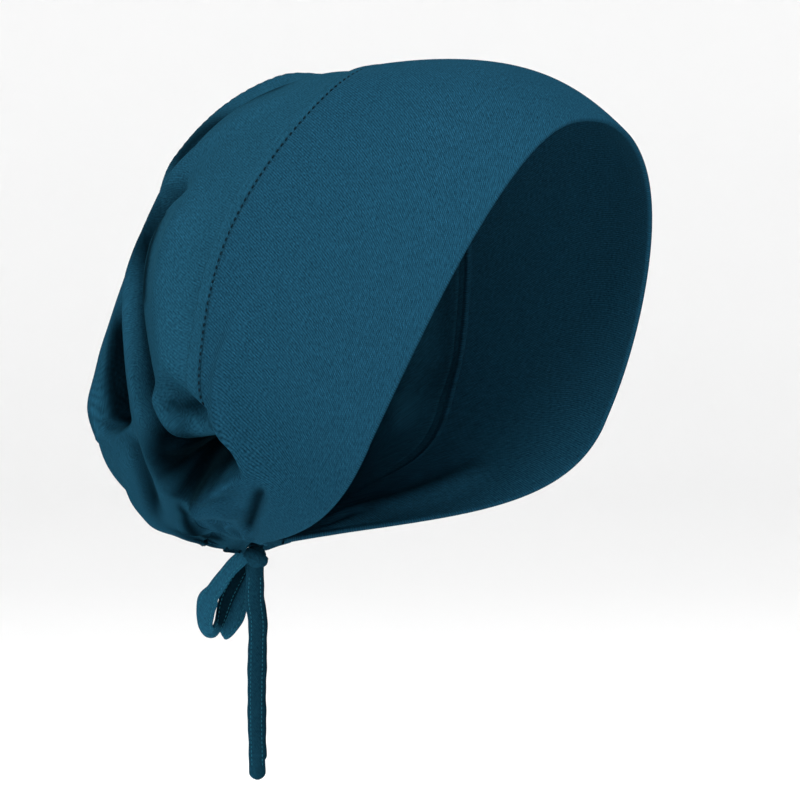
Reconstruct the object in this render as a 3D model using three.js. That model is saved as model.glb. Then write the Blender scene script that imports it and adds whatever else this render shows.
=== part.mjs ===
// Hijab underscarf cap of jersey, worn shape: a doubled front band, a slouchy gathered crown bag behind
// it, and a tie bow at the nape. Millimetres, +Z up, the face side towards -Y, origin where the top of
// the head touches the inside of the crown. The near side of the photograph is -X.
import * as THREE from 'three';

// Sizes of the whole
const CAP_DROP = 191.5; // inside of the crown down to the gathered nape
const NAPE_BACK = 83; // crown top back to the gathered nape
const REACH = 231.5; // gathered nape to the middle of the forehead edge
const HALF_WIDTH = 78; // widest half of the cap, outside
const WRAP = 46; // how far the face edge swings forward of a flat arch at the temples
const NECK_RADIUS = 6; // ring of cloth round the drawstring at the nape
const NECK_HALF_GAP = 5; // half of the ring's opening, side to side

// Cloth
const BAND_WALL = 2.0; // doubled jersey
const CROWN_WALL = 1.2; // single jersey
const SEAM_GAP = 0.5; // band to crown along their seam
const EDGE_ROUND = 0.9; // rounded fold of the face edge
const ALLOWANCE_WIDE = 3.0; // turned seam allowance under the crown, behind the seam
const ALLOWANCE_HIGH = 0.7;

// Folds and gathers
const FOLD_DEPTH = 14;
const FOLD_WIDTH = 9;
const PLEATS = 5; // pleats round one side of the nape
const PLEAT_HEIGHT = 1.1;
const PLEAT_FROM = 16; // distances from the nape where the pleats start, are full, wane and end
const PLEAT_FULL = 32;
const PLEAT_WANE = 34;
const PLEAT_END = 58;

// Ties
const TIE_WIDTH = 7.0;
const TIE_THICK = 2.0;
const TIE_STEP = 3.5; // length of one facet along a tie
const KNOT_HALF_WIDTH = 6;
const KNOT_HALF_DEPTH = 4.4;
const KNOT_HALF_HEIGHT = 4.8;
const KNOT_BACK = 6; // knot behind the middle of the gathered nape
const KNOT_DROP = 2.6; // and below it

// Facets
const ACROSS = 50;
const BAND_ROWS = 9;
const CROWN_ROWS = 35;
const FACET_SHARES = [ // how many of the facets lie up to each place across, closest over the near folds
  { to: -0.84, share: 0.1 },
  { to: -0.26, share: 0.42 },
  { to: 0.74, share: 0.33 },
  { to: 1.0, share: 0.15 },
];

// The cap is a fan of arches hinged at the nape: each row is one arch from the near side over the top to
// the far side. 'at' places it between face edge (0) and nape hem (1) and 'tilt' is its angle, in
// degrees, above the forward level. reach, half, wrap and bow are shares of REACH, HALF_WIDTH and WRAP;
// 'widest' is where along the reach the arch is widest; low and top are the squareness of its two ends.
const ARCHES = [
  { name: 'face_edge', at: 0.0, tilt: 48.0, reach: 1.004, half: 0.93,
    widest: 0.476, low: 1.4, top: 2.3, wrap: 1.0, bow: 0.24 },
  { name: 'brow', at: 0.12, tilt: 56.5, reach: 0.98, half: 0.98,
    widest: 0.47, low: 1.55, top: 2.4, wrap: 0.89, bow: 0.17 },
  { name: 'vertex', at: 0.26, tilt: 66.5, reach: 0.914, half: 1.0,
    widest: 0.46, low: 1.7, top: 2.3, wrap: 0.74, bow: 0.11 },
  { name: 'seam', at: 0.4, tilt: 78.0, reach: 0.838, half: 0.987,
    widest: 0.46, low: 1.85, top: 2.15, wrap: 0.52, bow: 0.06 },
  { name: 'back', at: 0.54, tilt: 93.5, reach: 0.737, half: 0.923,
    widest: 0.46, low: 2.0, top: 2.1, wrap: 0.33, bow: 0.04 },
  { name: 'shoulder', at: 0.66, tilt: 110.0, reach: 0.553, half: 0.833,
    widest: 0.47, low: 2.1, top: 2.1, wrap: 0.17, bow: 0.0 },
  { name: 'crest', at: 0.78, tilt: 133.0, reach: 0.36, half: 0.731,
    widest: 0.48, low: 2.1, top: 2.1, wrap: 0.06, bow: 0.0 },
  { name: 'belly', at: 0.88, tilt: 152.0, reach: 0.175, half: 0.5,
    widest: 0.5, low: 2.1, top: 2.1, wrap: 0.0, bow: 0.0 },
  { name: 'hem', at: 1.0, tilt: 172.0, reach: 0.06, half: 0.13,
    widest: 0.5, low: 2.0, top: 2.0, wrap: 0.0, bow: 0.0 },
];

// Where the seam lies between face edge (0) and hem (1), from the top of the head (across 0) down to the
// nape (across 1), on the near and the far side. The band's rear corner is pulled out as a lobe.
const SEAM = [
  { across: 0.0, near: 0.335, far: 0.335 },
  { across: 0.18, near: 0.35, far: 0.35 },
  { across: 0.37, near: 0.417, far: 0.4 },
  { across: 0.53, near: 0.437, far: 0.42 },
  { across: 0.61, near: 0.402, far: 0.41 },
  { across: 0.68, near: 0.325, far: 0.38 },
  { across: 0.74, near: 0.42, far: 0.39 },
  { across: 0.79, near: 0.57, far: 0.45 },
  { across: 0.84, near: 0.67, far: 0.48 },
  { across: 0.89, near: 0.58, far: 0.46 },
  { across: 0.94, near: 0.45, far: 0.42 },
  { across: 1.0, near: 0.4, far: 0.4 },
];

// Each fold runs on a smooth line through its places, given as [along, across]: along 0 is the face edge
// and 1 the hem, across is -1 at the near nape, 0 on top and 1 at the far nape. depth and width are
// shares of FOLD_DEPTH and FOLD_WIDTH, and a negative depth sinks.
const FOLDS = [
  { name: 'near_pocket', depth: -1.35, width: 0.85,
    places: [[0.33, -0.645], [0.4, -0.672], [0.47, -0.695], [0.53, -0.73]] },
  { name: 'near_valley', depth: -0.85, width: 0.5,
    places: [[0.52, -0.25], [0.575, -0.31], [0.592, -0.4], [0.586, -0.5],
      [0.575, -0.58], [0.53, -0.65], [0.45, -0.68]] },
  { name: 'near_puff', depth: 0.4, width: 0.95,
    places: [[0.47, -0.28], [0.515, -0.4], [0.51, -0.5], [0.48, -0.6]] },
  { name: 'near_puff_lip', depth: 0.3, width: 0.45,
    places: [[0.545, -0.53], [0.535, -0.59], [0.48, -0.63], [0.4, -0.622]] },
  { name: 'near_puff_dimple', depth: -0.3, width: 0.42,
    places: [[0.53, -0.53], [0.49, -0.562], [0.45, -0.59], [0.4, -0.612]] },
  { name: 'near_roll', depth: 0.26, width: 0.5,
    places: [[0.56, -0.2], [0.602, -0.28], [0.614, -0.4], [0.614, -0.5],
      [0.622, -0.6], [0.655, -0.7], [0.74, -0.76]] },
  { name: 'near_hollow', depth: -0.85, width: 0.5,
    places: [[0.63, -0.29], [0.655, -0.37], [0.668, -0.45], [0.685, -0.53]] },
  { name: 'near_crest', depth: 0.2, width: 0.5,
    places: [[0.67, -0.28], [0.715, -0.33], [0.745, -0.39], [0.75, -0.47]] },
  { name: 'near_pinch', depth: -0.34, width: 0.34,
    places: [[0.75, -0.42], [0.725, -0.465], [0.69, -0.505], [0.645, -0.53]] },
  { name: 'near_flap', depth: 0.12, width: 0.34,
    places: [[0.76, -0.435], [0.73, -0.49], [0.7, -0.53], [0.655, -0.56]] },
  { name: 'near_lower_valley', depth: -0.42, width: 0.42,
    places: [[0.66, -0.54], [0.685, -0.62], [0.73, -0.68], [0.82, -0.71]] },
  { name: 'near_lower_tuck', depth: -0.3, width: 1.8,
    places: [[0.76, -0.45], [0.8, -0.62], [0.84, -0.76], [0.86, -0.93]] },
  { name: 'near_band_ridge', depth: 0.2, width: 0.5,
    places: [[0.35, -0.43], [0.38, -0.51], [0.382, -0.57], [0.35, -0.63], [0.31, -0.69]] },
  { name: 'near_corner_crease', depth: -0.22, width: 0.45,
    places: [[0.175, -0.655], [0.158, -0.72], [0.15, -0.78], [0.16, -0.86]] },
  { name: 'near_lobe', depth: 0.38, width: 0.85, places: [[0.6, -0.79], [0.42, -0.79], [0.25, -0.78]] },
  { name: 'top_dip', depth: -0.1, width: 0.8, places: [[0.38, -0.2], [0.37, 0.0], [0.38, 0.2]] },
  { name: 'top_edge_valley', depth: -0.3, width: 0.45,
    places: [[0.42, -0.03], [0.5, -0.09], [0.55, -0.155], [0.6, -0.22]] },
  { name: 'top_edge_ridge', depth: 0.18, width: 0.45,
    places: [[0.4, -0.13], [0.48, -0.2], [0.53, -0.225], [0.6, -0.245]] },
  { name: 'back_valley', depth: -0.4, width: 0.7, places: [[0.6, 0.02], [0.72, 0.05], [0.84, 0.0]] },
  { name: 'back_roll', depth: 0.3, width: 0.8, places: [[0.56, 0.16], [0.7, 0.2], [0.84, 0.16]] },
  { name: 'back_low_valley', depth: -0.3, width: 0.5, places: [[0.86, -0.25], [0.83, 0.1], [0.86, 0.35]] },
  { name: 'far_valley', depth: -0.7, width: 0.7, places: [[0.5, 0.27], [0.57, 0.45], [0.5, 0.68]] },
  { name: 'far_puff', depth: 0.28, width: 1.0, places: [[0.44, 0.32], [0.48, 0.48], [0.45, 0.62]] },
  { name: 'far_roll', depth: 0.35, width: 0.7, places: [[0.58, 0.3], [0.64, 0.47], [0.66, 0.74]] },
  { name: 'far_hollow', depth: -0.5, width: 0.6, places: [[0.66, 0.34], [0.71, 0.46], [0.74, 0.6]] },
  { name: 'far_corner_crease', depth: -0.25, width: 0.55,
    places: [[0.16, 0.66], [0.15, 0.77], [0.21, 0.9]] },
];

// Routes of the ties from the middle of the knot, chosen by hand, and the way each one's width lies.
const TIES = [
  {
    name: 'tie_tail_near',
    width: [0.66, -0.75, 0],
    route: [[-0.8, -0.9, -4.6], [-0.8, -1.1, -9], [-0.7, -0.9, -15.5], [-0.4, -2.0, -24], [-1.2, -2.4, -35.5],
      [-2.2, -2.9, -51], [-3.0, -3.6, -67], [-3.8, -4.9, -86]],
  },
  {
    name: 'tie_tail_far',
    width: [0.66, -0.75, 0],
    route: [[1.9, 1.0, -4.6], [2.1, 1.0, -9], [2.3, 0.9, -15.5], [2.8, 0.0, -24], [2.2, -0.3, -35.5],
      [1.2, -0.7, -51], [0.3, -1.4, -67], [-0.5, -2.4, -80]],
  },
  {
    name: 'tie_loop_near',
    width: [0, 0.1, 1],
    route: [[-4.6, 3.8, 0.2], [-6.4, 6.2, -1.2], [-8.6, 9.2, -5.4], [-10.6, 12.6, -10.4], [-12.6, 15.2, -16],
      [-13.4, 16.2, -21.5], [-12.2, 16.4, -26.4], [-8.8, 16.8, -27.6], [-6.2, 15.2, -23.9], [-4.6, 12.6, -18.2],
      [-3.2, 9.4, -12.2], [-2.2, 6.0, -6.6], [-1.8, 4.1, -3.7]],
  },
  {
    name: 'tie_loop_far',
    width: [0, 0.1, 1],
    route: [[2.4, 5.0, -0.2], [3.5, 7.8, -2.0], [3.7, 10.2, -7.4], [2.7, 12.0, -14], [1.4, 13.4, -21],
      [0.6, 14.6, -27], [3.2, 16.2, -29], [6.2, 14.6, -26], [8.0, 12.0, -20], [9.0, 8.8, -13],
      [9.0, 5.0, -7], [7.0, 1.6, -2.7]],
  },
];

const COLOURS = { band: 0x1c4b62, crown: 0x1b4860, tie: 0x183f52 };

/** Natural cubic spline through the rows' values of each column, evaluated at any place on `key`. */
function splineThrough(rows, key, columns) {
  const at = rows.map((row) => row[key]);
  const last = at.length - 1;
  const bendsOf = (column) => secondDerivatives(at, rows.map((row) => row[column]));
  const bends = Object.fromEntries(columns.map((column) => [column, bendsOf(column)]));
  return (place) => {
    const t = THREE.MathUtils.clamp(place, at[0], at[last]);
    let k = 0;
    while (k < last - 1 && t > at[k + 1]) k += 1;
    const step = at[k + 1] - at[k];
    const a = (at[k + 1] - t) / step;
    const b = 1 - a;
    const value = {};
    for (const column of columns) {
      const bend = bends[column];
      value[column] = a * rows[k][column] + b * rows[k + 1][column]
        + (((a ** 3 - a) * bend[k] + (b ** 3 - b) * bend[k + 1]) * step * step) / 6;
    }
    return value;
  };
}

/** Second derivatives of a natural cubic spline at its knots, by elimination down and back. */
function secondDerivatives(at, values) {
  const count = at.length;
  const bend = new Array(count).fill(0);
  const carried = new Array(count).fill(0);
  for (let i = 1; i < count - 1; i += 1) {
    const before = at[i] - at[i - 1];
    const after = at[i + 1] - at[i];
    const share = before / (before + after);
    const pivot = share * bend[i - 1] + 2;
    const turn = (values[i + 1] - values[i]) / after - (values[i] - values[i - 1]) / before;
    bend[i] = (share - 1) / pivot;
    carried[i] = ((6 * turn) / (before + after) - share * carried[i - 1]) / pivot;
  }
  for (let i = count - 2; i >= 0; i -= 1) bend[i] = bend[i] * bend[i + 1] + carried[i];
  return bend;
}

const archAt = splineThrough(ARCHES, 'at', ['tilt', 'reach', 'half', 'widest', 'low', 'top', 'wrap', 'bow']);
const seamAt = splineThrough(SEAM, 'across', ['near', 'far']);

/** The cap's smooth outer surface, before any fold. */
function smoothPoint(along, across) {
  const arch = archAt(along);
  const turn = (1 - Math.abs(across)) * Math.PI;
  const up = (1 - Math.cos(turn)) / 2;
  const side = Math.abs(Math.sin(turn));
  const square = arch.low + (arch.top - arch.low) * up;
  const rise = Math.abs(Math.cos(turn)) ** (2 / square);
  const span = arch.reach * REACH - NECK_RADIUS;
  const share = turn < Math.PI / 2 ? arch.widest * (1 - rise) : arch.widest + (1 - arch.widest) * rise;
  const out = NECK_RADIUS + span * share;
  const forward = (arch.wrap * side ** 2 + arch.bow * Math.sin(2 * turn) * side ** 2) * WRAP;
  const tilt = THREE.MathUtils.degToRad(arch.tilt);
  const x = arch.half * HALF_WIDTH * side ** (2 / square) + NECK_HALF_GAP * (1 - up);
  return new THREE.Vector3(
    Math.sign(across) * x,
    NAPE_BACK - out * Math.cos(tilt) - forward * Math.sin(tilt),
    -CAP_DROP + out * Math.sin(tilt) - forward * Math.cos(tilt),
  );
}

/** Slopes of the smooth surface along and across, and its outward normal. */
function smoothFrame(along, across) {
  const step = 0.006;
  const between = (value, low, high) => [Math.max(low, value - step), Math.min(high, value + step)];
  const [a0, a1] = between(along, 0, 1);
  const [c0, c1] = between(across, -1, 1);
  const alongSlope = smoothPoint(a1, across).sub(smoothPoint(a0, across)).divideScalar(a1 - a0);
  const acrossSlope = smoothPoint(along, c1).sub(smoothPoint(along, c0)).divideScalar(c1 - c0);
  const normal = new THREE.Vector3().crossVectors(acrossSlope, alongSlope).normalize();
  return { alongSlope, acrossSlope, normal };
}

const smoothstep = (low, high, value) => THREE.MathUtils.smoothstep(value, low, high);

/** A fold's line over the smooth surface: a spline through its places. */
function foldLine(fold) {
  const steps = 28;
  const knots = [];
  for (const [along, across] of fold.places) {
    const before = knots[knots.length - 1];
    const gap = before ? Math.hypot(along - before.along, 1.6 * (across - before.across)) : 0;
    knots.push({ at: before ? before.at + gap : 0, along, across });
  }
  const route = splineThrough(knots, 'at', ['along', 'across']);
  const length = knots[knots.length - 1].at;
  return Array.from({ length: steps + 1 }, (_, i) => {
    const place = route((length * i) / steps);
    return smoothPoint(place.along, place.across);
  });
}

const foldLines = FOLDS.map((fold) => ({ ...fold, line: foldLine(fold) }));

/** Nearest place on a fold's line: its distance and its share of the way along. */
function nearestOn(line, point) {
  let best = { distance: Infinity, share: 0 };
  const piece = new THREE.Line3();
  const closest = new THREE.Vector3();
  for (let i = 0; i < line.length - 1; i += 1) {
    piece.set(line[i], line[i + 1]);
    const t = piece.closestPointToPointParameter(point, true);
    piece.at(t, closest);
    const distance = closest.distanceTo(point);
    if (distance < best.distance) best = { distance, share: (i + t) / (line.length - 1) };
  }
  return best;
}

/** How far the folds move a place of the smooth surface. */
function foldShift(point, normal) {
  const shift = new THREE.Vector3();
  for (const fold of foldLines) {
    const width = fold.width * FOLD_WIDTH;
    const near = nearestOn(fold.line, point);
    if (near.distance > 3 * width) continue;
    const ends = smoothstep(0, 0.25, near.share) * smoothstep(0, 0.25, 1 - near.share);
    const height = fold.depth * FOLD_DEPTH * ends * Math.exp(-((near.distance / width) ** 2));
    shift.addScaledVector(normal, height);
  }
  return shift;
}

/** Pleats that run out of the gathered nape. */
function pleatHeight(along, across, point) {
  const nape = new THREE.Vector3(0, NAPE_BACK, -CAP_DROP);
  const distance = point.distanceTo(nape);
  const phase = 2 * Math.PI * PLEATS * (along + 0.3 * (1 - Math.abs(across)));
  const grown = smoothstep(PLEAT_FROM, PLEAT_FULL, distance) * smoothstep(0.02, 0.12, along);
  return PLEAT_HEIGHT * grown * (1 - smoothstep(PLEAT_WANE, PLEAT_END, distance)) * Math.cos(phase);
}

/** Raised strip where the seam allowance lies under the crown. */
function allowanceHeight(behindSeam, across) {
  const end = 1 - smoothstep(ALLOWANCE_WIDE, ALLOWANCE_WIDE + 1.2, behindSeam);
  const fade = 1 - smoothstep(0.8, 0.95, Math.abs(across));
  return ALLOWANCE_HIGH * smoothstep(0, 0.8, behindSeam) * end * fade;
}

/** Places across the cap, closer together over the near folds. */
function acrossPlaces() {
  return Array.from({ length: ACROSS + 1 }, (_, j) => {
    let left = j / ACROSS;
    let from = -1;
    for (const { to, share } of FACET_SHARES) {
      if (left <= share + 1e-9) return from + ((to - from) * left) / share;
      left -= share;
      from = to;
    }
    return 1;
  });
}

/** The rows of one line from face edge to hem: how far along each lies and how far behind the seam. */
function rowsAlong(across) {
  const seamRow = seamAt(Math.abs(across));
  const seam = across < 0 ? seamRow.near : seamRow.far;
  const frame = smoothFrame(seam, across);
  const unit = frame.alongSlope.length();
  const ahead = Math.min(Math.abs(across) + 0.01, 1);
  const behind = Math.abs(across) - 0.01;
  const column = across < 0 ? 'near' : 'far';
  const slope = (seamAt(ahead)[column] - seamAt(Math.max(behind, 0))[column]) / (ahead - Math.max(behind, 0));
  const slant = Math.hypot(1, (slope * unit) / Math.max(frame.acrossSlope.length(), 1));
  const half = Math.min(((SEAM_GAP / 2) * slant) / unit, 0.03);
  const band = [0, Math.min(EDGE_ROUND / unit, 0.04)];
  for (let i = 1; i <= BAND_ROWS; i += 1) {
    band.push(band[1] + (seam - half - band[1]) * (1 - (1 - i / BAND_ROWS) ** 1.5)); // closer towards the seam
  }
  const strip = [0, 0.8, ALLOWANCE_WIDE, ALLOWANCE_WIDE + 1.2];
  const room = (0.25 * (1 - seam)) / strip[3];
  const crown = strip.map((distance) => seam + half + distance * Math.min(1 / unit, room));
  const rest = CROWN_ROWS - strip.length + 1;
  for (let i = 1; i <= rest; i += 1) crown.push(crown[3] + ((1 - crown[3]) * i) / rest);
  return { band, crown, seam, unit };
}

/** Outer points of band and crown, as columns of rows over one shared set of places across. */
function outerColumns() {
  return acrossPlaces().map((across) => {
    const { band, crown, seam, unit } = rowsAlong(across);
    const place = (along) => {
      const point = smoothPoint(along, across);
      const { normal } = smoothFrame(along, across);
      const raised = along > seam ? allowanceHeight((along - seam) * unit, across) : 0;
      const height = raised + pleatHeight(along, across, point);
      return point.add(foldShift(point, normal)).addScaledVector(normal, height);
    };
    return { band: band.map(place), crown: crown.map(place) };
  });
}

/** Normals over a net of points, from its neighbours along and across. */
function netNormals(net) {
  return net.map((column, j) => column.map((_, i) => {
    const left = net[Math.max(j - 1, 0)][i];
    const right = net[Math.min(j + 1, net.length - 1)][i];
    const back = column[Math.max(i - 1, 0)];
    const ahead = column[Math.min(i + 1, column.length - 1)];
    return right.clone().sub(left).cross(ahead.clone().sub(back)).normalize();
  }));
}

/** A closed cloth wall between an outer and an inner net of points. */
function clothWall(outer, inner) {
  const columns = outer.length;
  const rows = outer[0].length;
  const points = [...outer.flat(), ...inner.flat()];
  const out = (j, i) => j * rows + i;
  const into = (j, i) => columns * rows + j * rows + i;
  const faces = [];
  const quad = (a, b, c, d) => faces.push(a, b, c, a, c, d);
  for (let j = 0; j < columns - 1; j += 1) {
    for (let i = 0; i < rows - 1; i += 1) {
      quad(out(j, i), out(j + 1, i), out(j + 1, i + 1), out(j, i + 1));
      quad(into(j, i), into(j, i + 1), into(j + 1, i + 1), into(j + 1, i));
    }
    quad(out(j, 0), into(j, 0), into(j + 1, 0), out(j + 1, 0));
    quad(out(j, rows - 1), out(j + 1, rows - 1), into(j + 1, rows - 1), into(j, rows - 1));
  }
  for (let i = 0; i < rows - 1; i += 1) {
    quad(out(0, i), out(0, i + 1), into(0, i + 1), into(0, i));
    quad(out(columns - 1, i), into(columns - 1, i), into(columns - 1, i + 1), out(columns - 1, i + 1));
  }
  const geometry = new THREE.BufferGeometry().setFromPoints(points);
  geometry.setIndex(faces);
  geometry.computeVertexNormals();
  return geometry;
}

/** Inner net under an outer one, a wall's thickness below it. */
function below(net, normals, wall) {
  return net.map((column, j) => column.map((point, i) => point.clone().addScaledVector(normals[j][i], -wall)));
}

/** Band and crown, cut from one surface along the seam so that their edges run side by side. */
function capGeometries() {
  const columns = outerColumns();
  const bandRows = columns[0].band.length;
  const normals = netNormals(columns.map(({ band, crown }) => [...band, ...crown]));
  for (const column of normals) {
    const shared = column[bandRows - 1].clone().add(column[bandRows]).normalize();
    column[bandRows - 1].copy(shared);
    column[bandRows].copy(shared);
  }
  const bandNormals = normals.map((column) => column.slice(0, bandRows));
  const crownNormals = normals.map((column) => column.slice(bandRows));
  const band = columns.map((column) => column.band);
  const crown = columns.map((column) => column.crown);
  const bandInside = below(band, bandNormals, BAND_WALL);
  band.forEach((column, j) => {
    column[0].addScaledVector(bandNormals[j][0], -BAND_WALL / 4);
    bandInside[j][0].addScaledVector(bandNormals[j][0], BAND_WALL / 4);
  });
  return {
    band: clothWall(band, bandInside),
    crown: clothWall(crown, below(crown, crownNormals, CROWN_WALL)),
  };
}

/** A tie's route whose width starts along a chosen direction and turns no more than the route does. */
class TieRoute extends THREE.CatmullRomCurve3 {
  constructor(points, width) {
    super(points, false, 'centripetal');
    this.width = width;
  }

  computeFrenetFrames(segments) {
    const tangents = Array.from({ length: segments + 1 }, (_, i) => this.getTangentAt(i / segments));
    const normals = [];
    let normal = this.width.clone();
    tangents.forEach((tangent, i) => {
      if (i > 0) {
        const turn = new THREE.Quaternion().setFromUnitVectors(tangents[i - 1], tangent);
        normal = normal.clone().applyQuaternion(turn);
      }
      normal = normal.clone().addScaledVector(tangent, -normal.dot(tangent)).normalize();
      normals.push(normal);
    });
    const binormals = tangents.map((tangent, i) => new THREE.Vector3().crossVectors(tangent, normals[i]));
    return { tangents, normals, binormals };
  }
}

/** Flat cord section with rounded edges. */
function tieSection() {
  const w = TIE_WIDTH / 2;
  const t = TIE_THICK / 2;
  const corner = 0.6 * t;
  const outline = [[w, 0], [w - 0.3 * corner, corner], [w - 1.4 * t, t], [-w + 1.4 * t, t], [-w + 0.3 * corner, corner],
    [-w, 0], [-w + 0.3 * corner, -corner], [-w + 1.4 * t, -t], [w - 1.4 * t, -t], [w - 0.3 * corner, -corner]];
  return new THREE.Shape(outline.map(([x, y]) => new THREE.Vector2(x, y)));
}

function tieGeometry(tie) {
  const route = new TieRoute(tie.route.map((p) => new THREE.Vector3(...p)), new THREE.Vector3(...tie.width));
  const steps = Math.round(route.getLength() / TIE_STEP);
  return new THREE.ExtrudeGeometry(tieSection(), { extrudePath: route, steps, bevelEnabled: false });
}

const KNOT_SIZE = new THREE.Vector3(KNOT_HALF_WIDTH, KNOT_HALF_DEPTH, KNOT_HALF_HEIGHT);

/** The knot: a rounded body with the tie wrapped round it on the slant. */
function knotGeometry() {
  const geometry = new THREE.SphereGeometry(1, 20, 12);
  const slant = new THREE.Vector3(0.35, 0.45, 0.8).normalize();
  const places = geometry.getAttribute('position');
  const point = new THREE.Vector3();
  for (let i = 0; i < places.count; i += 1) {
    point.fromBufferAttribute(places, i);
    const off = Math.abs(point.dot(slant));
    const wrap = 0.86 + 0.14 * (1 - smoothstep(0.28, 0.5, off));
    point.multiplyScalar(wrap).multiply(KNOT_SIZE);
    places.setXYZ(i, ...point);
  }
  geometry.computeVertexNormals();
  return geometry;
}

function jersey(name, geometry, colour) {
  const material = new THREE.MeshStandardMaterial({ color: colour, roughness: 0.92, metalness: 0 });
  const mesh = new THREE.Mesh(geometry, material);
  mesh.name = name;
  return mesh;
}

const cap = new THREE.Group();
const cloth = capGeometries();
cap.add(jersey('front_band', cloth.band, COLOURS.band));
cap.add(jersey('crown_bag', cloth.crown, COLOURS.crown));

const bow = new THREE.Group();
bow.position.set(0, NAPE_BACK + KNOT_BACK, -CAP_DROP - KNOT_DROP);
bow.add(jersey('tie_knot', knotGeometry(), COLOURS.tie));
for (const tie of TIES) bow.add(jersey(tie.name, tieGeometry(tie), COLOURS.tie));
cap.add(bow);

export default cap;
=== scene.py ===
"""Looks of a worn jersey underscarf cap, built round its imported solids.

The cap is a fan of arches hinged at the gathered nape. One smooth surface, a function of two
parameters, is folded and pleated by short tables, then cut along the seam into the doubled front band
and the slouchy crown bag. A bow of flat ties hangs from the nape. Sizes are in millimetres until a
mesh is made.
"""

from __future__ import annotations

import logging
import math
from dataclasses import dataclass
from enum import Enum

import bpy
import numpy as np
from mathutils import Matrix, Vector

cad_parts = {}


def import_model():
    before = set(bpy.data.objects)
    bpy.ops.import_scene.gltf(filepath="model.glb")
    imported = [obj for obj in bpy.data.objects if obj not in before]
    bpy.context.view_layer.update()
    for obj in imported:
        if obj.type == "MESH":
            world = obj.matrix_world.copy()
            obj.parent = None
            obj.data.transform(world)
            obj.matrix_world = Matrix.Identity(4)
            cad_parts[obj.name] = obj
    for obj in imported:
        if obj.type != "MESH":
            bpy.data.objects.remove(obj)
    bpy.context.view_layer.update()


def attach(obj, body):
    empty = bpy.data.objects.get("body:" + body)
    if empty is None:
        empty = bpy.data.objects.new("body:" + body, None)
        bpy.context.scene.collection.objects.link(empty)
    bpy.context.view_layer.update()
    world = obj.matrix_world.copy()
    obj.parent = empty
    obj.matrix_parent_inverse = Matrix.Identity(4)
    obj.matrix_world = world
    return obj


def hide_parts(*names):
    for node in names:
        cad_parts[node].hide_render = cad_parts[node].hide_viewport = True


log = logging.getLogger("underscarf_cap")

MM = 0.001
PHOTO_SIDE = 800.0
Array = np.ndarray


# Small helpers

def smoothstep(low: float, high: float, value: Array) -> Array:
    """Rises from 0 at low to 1 at high along 3t^2 - 2t^3."""
    t = np.clip((value - low) / (high - low), 0.0, 1.0)
    return t * t * (3.0 - 2.0 * t)


def unit(vectors: Array) -> Array:
    """Vectors scaled to length 1."""
    return vectors / np.maximum(np.linalg.norm(vectors, axis=-1, keepdims=True), 1e-12)


def lengths_along(line: Array) -> Array:
    """Length from the first point of a line to each of its points."""
    return np.concatenate([[0.0], np.cumsum(np.linalg.norm(np.diff(line, axis=0), axis=1))])


def columns_at(at: Array, length: Array, values: Array) -> Array:
    """Every column of values, read off at any lengths."""
    return np.stack([np.interp(at, length, column) for column in values.T], -1)


def end_fade(share: Array, fade: float) -> Array:
    """What is left of a line's effect near its two ends, where share runs from 0 to 1 along it."""
    return smoothstep(0.0, fade, share) * smoothstep(0.0, fade, 1.0 - share)


class NaturalSpline:
    """A natural cubic spline through rows of values."""

    def __init__(self, at: Array, values: Array) -> None:
        """Solves the second derivatives at the knots.

        Args:
            at: rising knot places, one per row.
            values: the rows' values, one column per quantity.
        """
        self.at = np.asarray(at, float)
        self.values = np.asarray(values, float)
        count = len(self.at)
        step = np.diff(self.at)
        left = np.eye(count)
        right = np.zeros((count, count))
        for i in range(1, count - 1):
            left[i, i - 1 : i + 2] = step[i - 1], 2 * (step[i - 1] + step[i]), step[i]
            right[i, i - 1 : i + 2] = 6 / step[i - 1], -6 / step[i - 1] - 6 / step[i], 6 / step[i]
        self.bend = np.linalg.solve(left, right @ self.values)

    def __call__(self, place: Array) -> Array:
        """Values at any places, with one more axis for the columns."""
        t = np.clip(place, self.at[0], self.at[-1])
        k = np.clip(np.searchsorted(self.at, t, side="right") - 1, 0, len(self.at) - 2)
        step = (self.at[k + 1] - self.at[k])[..., None]
        a = (self.at[k + 1] - t)[..., None] / step
        b = 1.0 - a
        bent = ((a**3 - a) * self.bend[k] + (b**3 - b) * self.bend[k + 1]) * step**2 / 6.0
        return a * self.values[k] + b * self.values[k + 1] + bent


# The cap's sizes and tables

@dataclass(frozen=True)
class CapSizes:
    """Sizes of the whole cap, in millimetres."""

    cap_drop: float = 191.5
    nape_back: float = 83.0
    reach: float = 231.5
    half_width: float = 78.0
    wrap: float = 46.0
    neck_radius: float = 6.0
    neck_half_gap: float = 5.0
    band_wall: float = 2.0
    crown_wall: float = 1.2
    seam_gap: float = 0.3
    allowance_wide: float = 4.9
    allowance_high: float = 0.38
    allowance_lip: float = 0.30
    ditch_deep: float = 0.9
    ditch_wide: float = 1.0
    fold_depth: float = 14.0
    fold_width: float = 9.0
    pleats: int = 5
    pleat_height: float = 1.1
    pleat_slant: float = 0.3
    pleat_from: float = 16.0
    pleat_full: float = 32.0
    pleat_wane: float = 34.0
    pleat_end: float = 58.0


@dataclass(frozen=True)
class Cut:
    """A panel of cloth before sewing: width and length in metres, and its area in square metres."""

    flat: tuple[float, float]
    area: float


@dataclass(frozen=True)
class Arch:
    """One arch of the fan; reach, half, wrap and bow are shares of the cap's sizes."""

    name: str
    at: float
    tilt: float
    reach: float
    half: float
    widest: float
    low: float
    top: float
    wrap: float
    bow: float


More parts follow.
